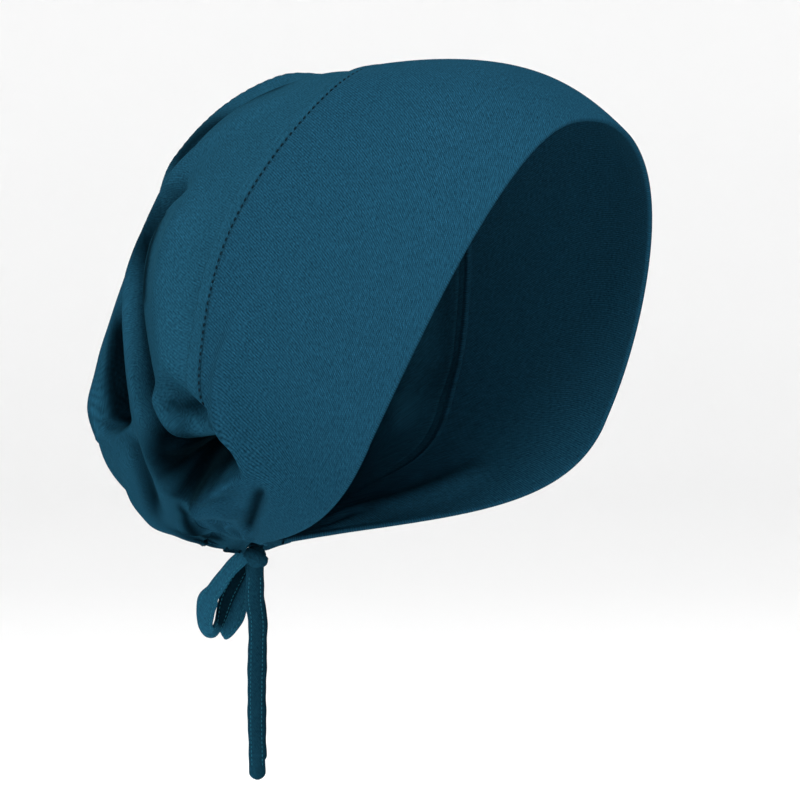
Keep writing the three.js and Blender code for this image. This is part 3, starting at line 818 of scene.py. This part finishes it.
@dataclass
class CapCloth:
    """Band and crown, cut from one folded surface along the seam.

    band_edge and crown_edge are the distances of the rows beside the seam from its edges, in
    millimetres; most_gap and most_step bound half of the gap and a millimetre as shares of the way
    along, where the arches draw together.
    """

    surface: CapSurface
    columns: int = 300
    band_rows: int = 84
    crown_rows: int = 150
    column_power: float = 1.1
    most_gap: float = 0.02
    most_step: float = 0.05
    closing: int = 3
    band_rounding: tuple[int, int] = (5, 0)
    crown_rounding: tuple[int, int] = (0, 2)
    band_edge: tuple[float, ...] = (0.0, 0.25, 0.5, 0.9, 1.4, 2.0)
    crown_edge: tuple[float, ...] = (
        0.0, 0.25, 0.5, 0.8, 1.2, 1.7, 2.5, 3.3, 3.9, 4.3, 4.7, 5.0, 5.3, 5.6, 6.0, 6.6,
    )

    def __post_init__(self) -> None:
        """Works out both nets at once so that they share the seam."""
        across = 2.0 * np.linspace(0.0, 1.0, self.columns) ** self.column_power - 1.0
        seam = self.surface.seam(across)
        half, step = self.seam_steps(seam, across)
        band_edge, crown_edge = np.array(self.band_edge), np.array(self.crown_edge)
        front = np.linspace(0.0, 1.0, self.band_rows - len(band_edge) + 1)[:-1]
        tuck = (seam - half)[:, None] - band_edge[::-1][None] * step[:, None]
        band = np.concatenate([front[None] * tuck[:, :1], tuck], axis=1)
        rest = np.linspace(0.0, 1.0, self.crown_rows - len(crown_edge) + 1)[1:]
        lead = (seam + half)[:, None] + crown_edge[None] * step[:, None]
        crown = np.concatenate([lead, lead[:, -1:] + (1 - lead[:, -1:]) * rest[None]], axis=1)
        along = np.concatenate([band, crown], axis=1)
        wide = np.broadcast_to(across[:, None], along.shape)
        behind = (along - seam[:, None]) / step[:, None]
        self.across = across
        self.net, self.shade = self.surface.folded(along, wide, self.relief(behind, wide))
        self.normals = net_normals(self.net)
        self.close_seam()
        self.uv = self.cloth_places(self.net)

    def seam_steps(self, seam: Array, across: Array) -> tuple[Array, Array]:
        """Half of the seam's gap and one millimetre, both as shares of the way along, at each column."""
        along_slope, across_slope = self.surface.slopes(seam, across)
        unit_length = np.linalg.norm(along_slope, axis=-1)
        turn = np.gradient(seam, across)
        slant = np.hypot(1.0, turn * unit_length / np.maximum(np.linalg.norm(across_slope, axis=-1), 1.0))
        half = np.minimum(self.surface.sizes.seam_gap / 2 * slant / unit_length, self.most_gap)
        return half, np.minimum(1.0 / unit_length, self.most_step)

    def close_seam(self) -> None:
        """Draws the two rows at the seam together where a deep fold has parted them."""
        last, first = self.band_rows - 1, self.band_rows
        middle = (self.net[:, last] + self.net[:, first]) / 2
        apart = self.net[:, first] - middle
        wide = np.linalg.norm(apart, axis=-1, keepdims=True)
        half_gap = self.surface.sizes.seam_gap / 2
        apart *= np.minimum(1.0, half_gap / np.maximum(wide, 1e-6)) ** self.closing
        self.net[:, last], self.net[:, first] = middle - apart, middle + apart
        shared = unit(self.normals[:, last] + self.normals[:, first])
        self.normals[:, last] = self.normals[:, first] = shared

    def relief(self, behind: Array, across: Array) -> Array:
        """Seam relief: a ditch over the seam and the raised turned allowance behind it."""
        size = self.surface.sizes
        full_until, gone_from = 0.60, 0.78
        rise_from, rise_to, fall = 0.2, 1.1, 0.8
        lip_before, lip_wide = 0.3, 0.5
        fade = 1.0 - smoothstep(full_until, gone_from, np.abs(across))
        ditch = -size.ditch_deep * np.exp(-((behind / size.ditch_wide) ** 2))
        wide = size.allowance_wide
        rise = smoothstep(rise_from, rise_to, behind) * (1 - smoothstep(wide, wide + fall, behind))
        lip = size.allowance_lip * np.exp(-(((behind - wide + lip_before) / lip_wide) ** 2))
        return (ditch + size.allowance_high * rise + lip) * fade

    def cloth_places(self, flat: Array) -> Array:
        """Texture places in millimetres: lengths across from the top line and along from the edge."""
        middle = int(np.argmin(np.abs(self.across)))
        step = np.linalg.norm(np.diff(flat, axis=0), axis=-1)
        across = np.concatenate([np.zeros((1, flat.shape[1])), np.cumsum(step, axis=0)])
        across -= across[middle : middle + 1]
        step = np.linalg.norm(np.diff(flat, axis=1), axis=-1)
        along = np.concatenate([np.zeros((flat.shape[0], 1)), np.cumsum(step, axis=1)], axis=1)
        return np.stack([across, along], axis=-1)

    def build_panel(
        self, name: str, rows: slice, wall: float, rounding: tuple[int, int], material: bpy.types.Material
    ) -> bpy.types.Object:
        """One panel of the cloth as a closed wall.

        Args:
            name: the piece's name.
            rows: the net's rows that the panel takes.
            wall: its thickness in millimetres.
            rounding: how many rows round its first and its last edge.
            material: its finish.

        Returns:
            The piece.
        """
        outer = self.net[:, rows]
        inner = outer - self.normals[:, rows] * wall
        places = np.dstack([self.uv, self.shade])[:, rows]
        points, faces, given = cloth_wall(outer, inner, places, rounding)
        return mesh_object(name, points, faces, given[:, :2], material, given[:, 2])

    def build_band(self, material: bpy.types.Material) -> bpy.types.Object:
        """The doubled front band with its rounded face edge."""
        rows, wall = slice(None, self.band_rows), self.surface.sizes.band_wall
        return self.build_panel("band_cloth", rows, wall, self.band_rounding, material)

    def build_crown(self, material: bpy.types.Material) -> bpy.types.Object:
        """The slouchy crown bag behind the seam."""
        rows, wall = slice(self.band_rows, None), self.surface.sizes.crown_wall
        return self.build_panel("crown_cloth", rows, wall, self.crown_rounding, material)

    def seam_path(self) -> tuple[Array, Array]:
        """The seam's line and its outward normals."""
        line = (self.net[:, self.band_rows - 1] + self.net[:, self.band_rows]) / 2
        return line, self.normals[:, self.band_rows]


def stitch_run(
    line: Array, normals: Array, margins: tuple[float, float], pitch: float, long: float, thick: float
) -> tuple[Array, Array]:
    """A row of stitches along a line, each a small spindle with its ends drawn in.

    Args:
        line: points that the stitches follow.
        normals: which way the cloth faces at each point.
        margins: lengths left bare at the two ends.
        pitch: distance from stitch to stitch.
        long: length of a stitch.
        thick: its thickness.

    Returns:
        Points and quads.
    """
    ring, steps = 6, 5
    blunt, least = 0.96, 0.02
    length = lengths_along(line)
    middles = np.arange(margins[0], length[-1] - margins[1], pitch)
    turn = np.linspace(0, 2 * np.pi, ring, endpoint=False)
    share = np.linspace(-1, 1, steps)
    width = np.sqrt(np.maximum(1 - (share * blunt) ** 2, least)) * thick / 2
    at = middles[:, None] + share[None] * long / 2
    centre = columns_at(at, length, line)
    outward = unit(columns_at(at, length, normals))
    forward = unit(np.gradient(centre, axis=1))
    aside = unit(np.cross(forward, outward))
    around = (
        aside[:, :, None] * np.cos(turn)[None, None, :, None]
        + outward[:, :, None] * np.sin(turn)[None, None, :, None]
    )
    points = centre[:, :, None] + around * width[None, :, None, None]
    count = steps * ring
    ends = np.array([[0, 1, 2, 3], [0, 3, 4, 5]])
    one = np.concatenate([ring_faces(steps, ring), ends, ends[:, ::-1] + count - ring])
    every = (one[None] + (np.arange(len(middles)) * count)[:, None, None]).reshape(-1, 4)
    return points.reshape(-1, 3), every


def join_runs(runs: list[tuple[Array, Array]]) -> tuple[Array, Array]:
    """Several sets of points and quads as one."""
    starts = np.cumsum([0] + [len(points) for points, _ in runs[:-1]])
    points = np.concatenate([points for points, _ in runs])
    return points, np.concatenate([faces + start for (_, faces), start in zip(runs, starts)])


@dataclass
class SeamStitches:
    """A row of short stitches in the ditch of the seam, dark with painted shade for the stitch holes."""

    cloth: CapCloth
    pitch: float = 2.75
    long: float = 1.50
    thick: float = 0.72
    lift: float = 0.40
    bandward: float = 0.35
    near_end: float = -0.60
    far_end: float = 0.74
    margins: tuple[float, float] = (1.0, 1.0)

    def build(self, material: bpy.types.Material) -> bpy.types.Object:
        """One mesh of all the stitches."""
        line, normals = self.cloth.seam_path()
        open_part = (self.cloth.across > self.near_end) & (self.cloth.across < self.far_end)
        line, normals = line[open_part], normals[open_part]
        aside = unit(np.cross(unit(np.gradient(line, axis=0)), normals))
        run = line + normals * self.lift - aside * self.bandward
        points, faces = stitch_run(run, normals, self.margins, self.pitch, self.long, self.thick)
        return mesh_object("seam_stitches", points, faces, None, material)


# The ties

class TieEnd(Enum):
    """What a tie's far end does."""

    BARE = "bare"
    KNOT = "knot"


@dataclass(frozen=True)
class TieRow:
    """A tie's route from the middle of the knot and half of its width along the route, in millimetres.

    shade is painted shade, the share of colour taken off the whole tie, inner_shade off the inside of a loop.
    """

    name: str
    route: tuple[tuple[float, float, float], ...]
    half: tuple[tuple[float, float, float], ...]
    far_end: TieEnd
    shade: float = 0.0
    inner_shade: float = 0.85


TAIL_HALF = (2.35, -2.65, 0.0)
# The tails' shade of 0.70 is painted shade, as on cloth that lies in shadow.
TIES = (
    TieRow(
        "tie_tail_near",
        ((-0.4, -0.9, 0.0), (-0.8, -1.1, -9), (-0.7, -0.9, -15.5), (-0.4, -2.0, -24), (-1.2, -2.4, -35.5),
         (-2.2, -2.9, -51), (-3.0, -3.6, -67), (-3.8, -4.9, -86)),
        ((2.0, -2.2, 0.0), TAIL_HALF, (2.5, -2.75, 0.0), TAIL_HALF, (2.5, -2.5, 0.0), (2.3, -2.6, 0.0),
         (2.2, -2.5, 0.0), (2.2, -2.3, 0.0)),
        TieEnd.BARE,
        0.70,
    ),
    TieRow(
        "tie_tail_far",
        ((1.4, 1.0, 0.0), (2.1, 1.0, -9), (2.3, 0.9, -15.5), (2.8, 0.0, -24), (2.2, -0.3, -35.5),
         (1.2, -0.7, -51), (0.3, -1.4, -67), (-0.5, -2.4, -80)),
        (TAIL_HALF,) * 8,
        TieEnd.BARE,
        0.70,
    ),
    TieRow(
        "tie_loop_near",
        ((-1.6, -1.4, 3.4), (-4.9, 1.6, 1.6), (-8.6, 6.4, -4.3), (-11.0, 10.7, -11.2), (-12.1, 13.0, -14.5),
         (-12.3, 14.1, -18.0), (-12.4, 14.6, -21.7), (-11.9, 14.9, -25.5), (-10.5, 14.2, -28.1),
         (-8.5, 13.4, -28.2), (-6.6, 12.9, -25.9), (-5.1, 12.5, -22.3), (-4.0, 11.8, -18.0),
         (-2.8, 10.2, -12.8), (-1.6, 7.8, -8.2), (-0.4, 5.2, -3.6), (0.5, 2.8, -0.3)),
        ((0.6, -1.8, -2.0), (0.8, -2.1, -2.1), (0.8, -2.1, -2.0), (1.3, -2.9, -1.2), (1.6, -3.6, -1.0),
         (1.6, -3.9, -0.6), (1.2, -3.6, 0.4), (0.7, -2.8, 1.4), (-0.4, -2.2, 2.0),
         (-1.2, -1.2, 2.4), (-1.6, -0.4, 2.6), (-1.7, 0.6, 2.7), (-1.8, 1.2, 2.8),
         (-1.7, 1.4, 2.4), (-1.5, 1.3, 2.0), (-1.1, 1.1, 1.6), (-0.7, 0.7, 1.5)),
        TieEnd.KNOT,
    ),
    TieRow(
        "tie_loop_far",
        ((2.4, 1.6, 1.0), (2.9, 3.8, -1.2), (3.1, 6.7, -6.1), (3.0, 8.4, -10.2), (2.9, 9.5, -14.2),
         (2.3, 10.2, -18.8), (1.2, 11.1, -23.4), (-0.1, 12.6, -27.1), (-0.6, 14.6, -29.3), (0.4, 16.4, -29.8),
         (2.2, 17.0, -27.2), (4.4, 15.8, -21.8), (6.2, 13.4, -16.0), (7.2, 9.6, -9.6), (6.2, 5.4, -4.2),
         (4.4, 2.2, -1.0)),
        ((1.3, -1.6, -1.0), (1.5, -1.6, -0.9), (1.4, -1.8, -0.7), (1.6, -2.3, -0.6), (2.0, -2.7, -0.6),
         (2.1, -3.0, -0.9), (2.0, -2.9, -1.4), (1.6, -2.5, -1.8), (1.4, -2.0, -2.0), (0.2, -1.2, -2.6),
         (-1.6, 0.6, -2.4), (-2.2, 1.6, -1.6), (-2.2, 2.0, -0.8), (-1.8, 2.2, 0.2), (-1.2, 2.0, 0.6),
         (-0.8, 1.8, 0.8)),
        TieEnd.KNOT,
    ),
)


def catmull_rom(points: Array, steps: int) -> Array:
    """A centripetal Catmull-Rom curve through rows of a point and any other columns, evenly resampled.

    Args:
        points: rows of which the first three columns are the point.
        steps: how many rows to give back.

    Returns:
        Rows at even lengths along the curve.
    """
    between = 24
    spans = (((0, 1), (1, 2), (2, 3)), ((0, 2), (1, 3)), ((1, 2),))
    padded = np.concatenate([[2 * points[0] - points[1]], points, [2 * points[-1] - points[-2]]])
    curve = []
    for k in range(1, len(padded) - 2):
        blend = list(padded[k - 1 : k + 3])
        at = np.concatenate([[0.0], np.cumsum(np.linalg.norm(np.diff(blend, axis=0), axis=1) ** 0.5)])
        t = np.linspace(at[1], at[2], between, endpoint=k == len(padded) - 3)[:, None]
        for level in spans:
            blend = [
                (at[j] - t) / (at[j] - at[i]) * blend[n] + (t - at[i]) / (at[j] - at[i]) * blend[n + 1]
                for n, (i, j) in enumerate(level)
            ]
        curve.append(blend[0])
    dense = np.concatenate(curve)
    length = lengths_along(dense[:, :3])
    return columns_at(np.linspace(0, length[-1], steps), length, dense)


@dataclass
class TieBow:
    """The knot at the nape with its two loops and two hanging ends.

    hem_fold is the stitching's distance from a tie's edges, which groove_deep and groove_wide sink as
    shares of half its thickness and width. corner holds the powers that square its section, wobbles
    the depth, length and start of waves in its width, and end_round the length of a rounded end.
    """

    sizes: CapSizes
    width: float = 7.0
    thick: float = 1.7
    steps: int = 160
    ring: int = 32
    hem_fold: float = 1.25
    groove_deep: float = 0.30
    groove_wide: float = 0.09
    corner: tuple[float, float] = (0.8, 0.5)
    wobbles: tuple[tuple[float, float, float], ...] = ((0.03, 3.1, 0.6), (0.02, 1.3, 0.0))
    end_round: float = 3.0
    end_least: float = 0.03
    cloth_aside: float = 40.0
    # Painted shade over a tail: its mean share and its change from edge to edge; inner_depth is the depth
    # over which a loop's inside turns dark.
    shade_mean: float = 0.8
    shade_slope: float = 0.2
    inner_depth: float = 2.0
    knot_half: tuple[float, float, float] = (5.8, 5.0, 5.6)
    knot_back: float = 6.0
    knot_drop: float = 2.6
    knot_shift: tuple[float, float, float] = (-0.4, -1.2, 1.8)

    @property
    def middle(self) -> Array:
        """Middle of the knot."""
        return np.array([0.0, self.sizes.nape_back + self.knot_back, -self.sizes.cap_drop - self.knot_drop])

    @property
    def stitch_place(self) -> float:
        """Where the stitching lies, as a share of half a tie's width."""
        return 1 - 2 * self.hem_fold / self.width

    def frame_of(self, row: TieRow) -> tuple[Array, Array, Array, Array]:
        """The centreline of a tie, half of its width as a vector, the way it faces, and lengths along it."""
        both = catmull_rom(np.hstack([np.array(row.route, float), np.array(row.half, float)]), self.steps)
        route, half = both[:, :3] + self.middle, both[:, 3:]
        tangent = unit(np.gradient(route, axis=0))
        half = half - tangent * np.sum(half * tangent, axis=-1, keepdims=True)
        return route, half, unit(np.cross(tangent, half)), lengths_along(route)

    def strip(self, row: TieRow, material: bpy.types.Material) -> tuple[bpy.types.Object, Array]:
        """A folded strip carried along its route: a flat rounded profile with a groove along each edge.

        Args:
            row: the tie's row in the table.
            material: its finish.

        Returns:
            The piece and its centreline in millimetres.
        """
        route, half, facing, length = self.frame_of(row)
        ring = self.ring
        angle = np.linspace(0, 2 * np.pi, ring, endpoint=False)
        flat_x = np.sign(np.cos(angle)) * np.abs(np.cos(angle)) ** self.corner[0]
        flat_y = np.sign(np.sin(angle)) * np.abs(np.sin(angle)) ** self.corner[1] * self.thick / 2
        groove = np.exp(-(((np.abs(flat_x) - self.stitch_place) / self.groove_wide) ** 2))
        flat_y = flat_y * (1 - self.groove_deep * groove)
        wobble = sum((deep * np.sin(length / long + start) for deep, long, start in self.wobbles), 1.0)
        if row.far_end is TieEnd.BARE:
            left = np.clip((length[-1] - length) / self.end_round, 0, 1)
            wobble = wobble * np.sqrt(np.clip(1 - (1 - left) ** 2, self.end_least, 1))
        points = (
            route[:, None]
            + (half * wobble[:, None])[:, None] * flat_x[None, :, None]
            + facing[:, None] * flat_y[None, :, None]
        )
        wide = np.broadcast_to(flat_x[None] * self.width / 2 + self.cloth_aside, points.shape[:2])
        uv = np.stack([wide, np.broadcast_to(length[:, None], points.shape[:2])], axis=-1)
        count = len(route) * ring
        k = np.arange(ring)
        following = (k + 1) % ring
        last = count - ring
        near_cap = np.stack([following, k, k * 0 + count], -1)
        far_cap = np.stack([last + k, last + following, k * 0 + count + 1], -1)
        every = np.concatenate([points.reshape(-1, 3), [route[0], route[-1]]])
        uv = np.concatenate([uv.reshape(-1, 2), [uv[0, 0], uv[-1, 0]]])
        # Painted shade: the inside faces of a loop darker, and a tail darker by its row's shade, more towards
        # one edge.
        inward = np.sum(facing * (route.mean(axis=0) - route), axis=-1, keepdims=True) * flat_y[None]
        inner = (row.far_end is TieEnd.KNOT) * row.inner_shade * smoothstep(0.0, self.inner_depth, inward)
        shade = np.maximum(row.shade * (self.shade_mean + self.shade_slope * flat_x)[None], inner)
        shade = np.append(shade, [row.shade] * 2)
        faces, caps = ring_faces(len(route), ring), np.concatenate([near_cap, far_cap])
        obj = mesh_object(row.name + "_cloth", every, faces, uv, material, shade, caps)
        return obj, route

    def stitches(self, material: bpy.types.Material) -> bpy.types.Object:
        """Rows of stitches in the grooves of the ties, on both faces."""
        pitch, long, thick = 1.7, 1.15, 0.34
        bare_ends = (7.0, 5.0)
        sunk = 0.36
        runs = []
        for row in TIES:
            route, half, facing = self.frame_of(row)[:3]
            for side in (-self.stitch_place, self.stitch_place):
                for face in (-1, 1):
                    line = route + half * side + facing * face * self.thick * sunk
                    runs.append(stitch_run(line, facing * face, bare_ends, pitch, long, thick))
        points, faces = join_runs(runs)
        return mesh_object("tie_stitches", points, faces, None, material)

    def knot(self, material: bpy.types.Material) -> bpy.types.Object:
        """The knot: a rounded body with the tie wrapped round it on the slant."""
        turns, rows = 72, 40
        core, wrap_high, wrap_inside, wrap_outside, wrap_off = 0.80, 0.20, 0.30, 0.52, 0.10
        groove_deep, groove_at, groove_wide = 0.07, 0.24, 0.05
        parting_deep, parting_wide, parting_from, parting_to = 0.06, 0.10, 0.3, 0.5
        ripple_deep, ripples, ripple_from, ripple_to = 0.022, 11, 0.2, 0.4
        cloth_round, cloth_down = 5, 4
        shade_mean, shade_rise = 0.62, 0.20
        phi = np.linspace(0, np.pi, rows)[:, None]
        theta = np.linspace(0, 2 * np.pi, turns, endpoint=False)[None]
        level = np.cos(phi) * np.ones_like(theta)
        ball = np.stack([np.sin(phi) * np.cos(theta), np.sin(phi) * np.sin(theta), level], -1)
        slant = unit(np.array([0.45, -0.10, 0.80]))
        cross = unit(np.array([-0.7, 0.2, 0.5]))
        off = np.abs(ball @ slant + wrap_off)
        wrap = core + wrap_high * (1 - smoothstep(wrap_inside, wrap_outside, off))
        wrap -= groove_deep * np.exp(-(((off - groove_at) / groove_wide) ** 2))
        parting = np.exp(-(((ball @ cross) / parting_wide) ** 2))
        wrap -= parting_deep * parting * smoothstep(parting_from, parting_to, off)
        ripple = np.sin(ripples * (ball @ cross))
        wrap += ripple_deep * ripple * (1 - smoothstep(ripple_from, ripple_to, off))
        points = ball * wrap[..., None] * np.array(self.knot_half) + self.middle + np.array(self.knot_shift)
        faces = ring_faces(rows, turns)[:, ::-1]
        uv = np.stack([theta * cloth_round + 0 * phi, phi * cloth_down + 0 * theta], -1).reshape(-1, 2)
        # Painted shade over the whole knot, darker towards its top.
        shade = np.clip(shade_mean + shade_rise * ball[..., 2], 0.0, 1.0).ravel()
        return mesh_object("tie_knot_cloth", points.reshape(-1, 3), faces, uv, material, shade)


# The studio

@dataclass(frozen=True)
class Lamp:
    """A square light: its place from the aim in metres, back and right in the view and up, and its watts."""

    name: str
    back: float
    right: float
    rise: float
    size: float
    power: float


LAMPS = (
    Lamp("key", 1.10, 0.30, 1.55, 0.8, 78.0),
    Lamp("fill", 1.10, -1.20, -0.30, 1.0, 32.0),
)
SWEEP_RADIUS = (0.0, 1.0, 2.0, 2.6, 3.0, 3.35, 3.6, 3.78, 3.88, 3.92, 3.92, 3.92)
SWEEP_HEIGHT = (0.0, 0.0, 0.0, 0.02, 0.10, 0.28, 0.55, 0.90, 1.35, 1.9, 3.2, 5.0)


@dataclass
class Studio:
    """Camera, pale floor with its sweep, and soft lights."""

    azimuth: float = -52.0
    elevation: float = 4.0
    distance: float = 1.7
    pixels_per_mm: float = 2.63
    eye_level: float = -108.5
    level_pixel: tuple[float, float] = (433.0, 352.0)
    sensor: float = 36.0
    aim: tuple[float, float, float] = (0.0, 0.03, -0.09)
    world_light: float = 0.46
    floor_level: float = -0.42

    def axes(self) -> tuple[Vector, Vector, Vector]:
        """The view's right, up and backward directions."""
        a, e = math.radians(self.azimuth), math.radians(self.elevation)
        back = Vector((math.sin(a) * math.cos(e), -math.cos(a) * math.cos(e), math.sin(e)))
        right = Vector((math.cos(a), math.sin(a), 0.0))
        return right, back.cross(right), back

    def add_camera(self) -> bpy.types.Object:
        """The camera at the photograph's angle and framing."""
        right, up, back = self.axes()
        half = PHOTO_SIDE / 2
        aside = (half - self.level_pixel[0]) / self.pixels_per_mm * MM
        above = -(half - self.level_pixel[1]) / self.pixels_per_mm * MM
        target = Vector((0.0, 0.0, self.eye_level * MM)) + right * aside + up * above
        data = bpy.data.cameras.new("camera")
        data.sensor_width = self.sensor
        data.lens = self.pixels_per_mm * (self.distance / MM) * data.sensor_width / PHOTO_SIDE
        data.clip_start, data.clip_end = 0.1, 20.0
        camera = bpy.data.objects.new("camera", data)
        bpy.context.scene.collection.objects.link(camera)
        camera.matrix_world = Matrix.Translation(target + back * self.distance) @ Matrix(
            (right, up, back)
        ).transposed().to_4x4()
        bpy.context.scene.camera = camera
        return camera

    def add_lights(self) -> None:
        """A soft key above the camera, a weaker fill from low on the left, and a pale world."""
        right, _, back = self.axes()
        aim = Vector(self.aim)
        for lamp in LAMPS:
            data = bpy.data.lights.new(lamp.name, "AREA")
            data.shape, data.size, data.energy = "SQUARE", lamp.size, lamp.power
            light = bpy.data.objects.new(lamp.name, data)
            place = aim + back * lamp.back + right * lamp.right + Vector((0, 0, lamp.rise))
            light.location = place
            light.rotation_euler = (aim - place).to_track_quat("-Z", "Y").to_euler()
            bpy.context.scene.collection.objects.link(light)
        world = bpy.data.worlds.new("studio")
        world.use_nodes = True
        background = world.node_tree.nodes["Background"]
        background.inputs[0].default_value = (1.0, 1.0, 1.0, 1.0)
        background.inputs[1].default_value = self.world_light
        bpy.context.scene.world = world

    def add_floor(self, material: bpy.types.Material) -> bpy.types.Object:
        """A round pale floor that sweeps up into a backdrop all round."""
        turns = 96
        radius, height = np.array(SWEEP_RADIUS)[:, None], np.array(SWEEP_HEIGHT)[:, None]
        theta = np.linspace(0, 2 * np.pi, turns, endpoint=False)
        level = height + self.floor_level + 0 * theta
        points = np.stack([radius * np.cos(theta), radius * np.sin(theta), level], -1).reshape(-1, 3)
        floor = mesh_object("floor", points / MM, ring_faces(len(radius), turns), None, material)
        return floor


def dress(piece: bpy.types.Object, slot: str, *nodes: str) -> None:
    """Puts a piece on the part's body in place of its solids and reports it."""
    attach(piece, "root")
    if nodes:
        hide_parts(*nodes)
    stands_for = ", ".join(nodes) or "nothing"
    log.info("%s stands for %s, %d faces", piece.name, stands_for, len(piece.data.polygons))


def main() -> None:
    """Builds the studio, the cap and the bow in order."""
    logging.basicConfig(level=logging.INFO, format="%(name)s: %(message)s")
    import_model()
    bpy.context.scene.view_settings.view_transform = "Standard"
    studio = Studio()
    studio.add_camera()
    studio.add_lights()
    studio.add_floor(PlainFinish("pale_paper", (0.97, 0.97, 0.97)).build())

    knit = knit_group()
    band_finish = JerseyFinish("band_jersey", (0.0048, 0.0278, 0.0486)).build(knit)
    crown_jersey = JerseyFinish("crown_jersey", (0.0052, 0.0300, 0.0508), wale=0.74, contrast=0.6)
    crown_finish = crown_jersey.build(knit)
    # The ties' colour is a lighter copy of the cap's jersey: painted light, for the lit loops.
    tie_finish_painted_light = JerseyFinish("tie_jersey", (0.0075, 0.0470, 0.0790), wale=0.6, contrast=0.6).build(knit)
    # The seam thread's near-black colour is painted shade for the stitch holes.
    thread = PlainFinish("seam_thread_painted_shade", (0.0014, 0.0085, 0.0140), 0.9).build()
    # The ties' thread is lighter than their cloth, as painted highlight along the stitching.
    tie_thread_painted_highlight = PlainFinish("tie_thread_painted_highlight", (0.0110, 0.0850, 0.1250), 0.8).build()

    sizes = CapSizes()
    bow = TieBow(sizes)
    knot = bow.knot(tie_finish_painted_light)
    dress(knot, "tie_jersey", "tie_knot")
    for row in TIES:
        piece, route = bow.strip(row, tie_finish_painted_light)
        dress(piece, "tie_jersey", row.name)

    cloth = CapCloth(CapSurface(sizes))
    band = cloth.build_band(band_finish)
    crown = cloth.build_crown(crown_finish)
    seam = SeamStitches(cloth).build(thread)
    dress(band, "band_jersey", "front_band")
    dress(crown, "crown_jersey", "crown_bag")
    dress(seam, "band_jersey")
    dress(bow.stitches(tie_thread_painted_highlight), "tie_jersey")


if __name__ == "__main__":
    main()
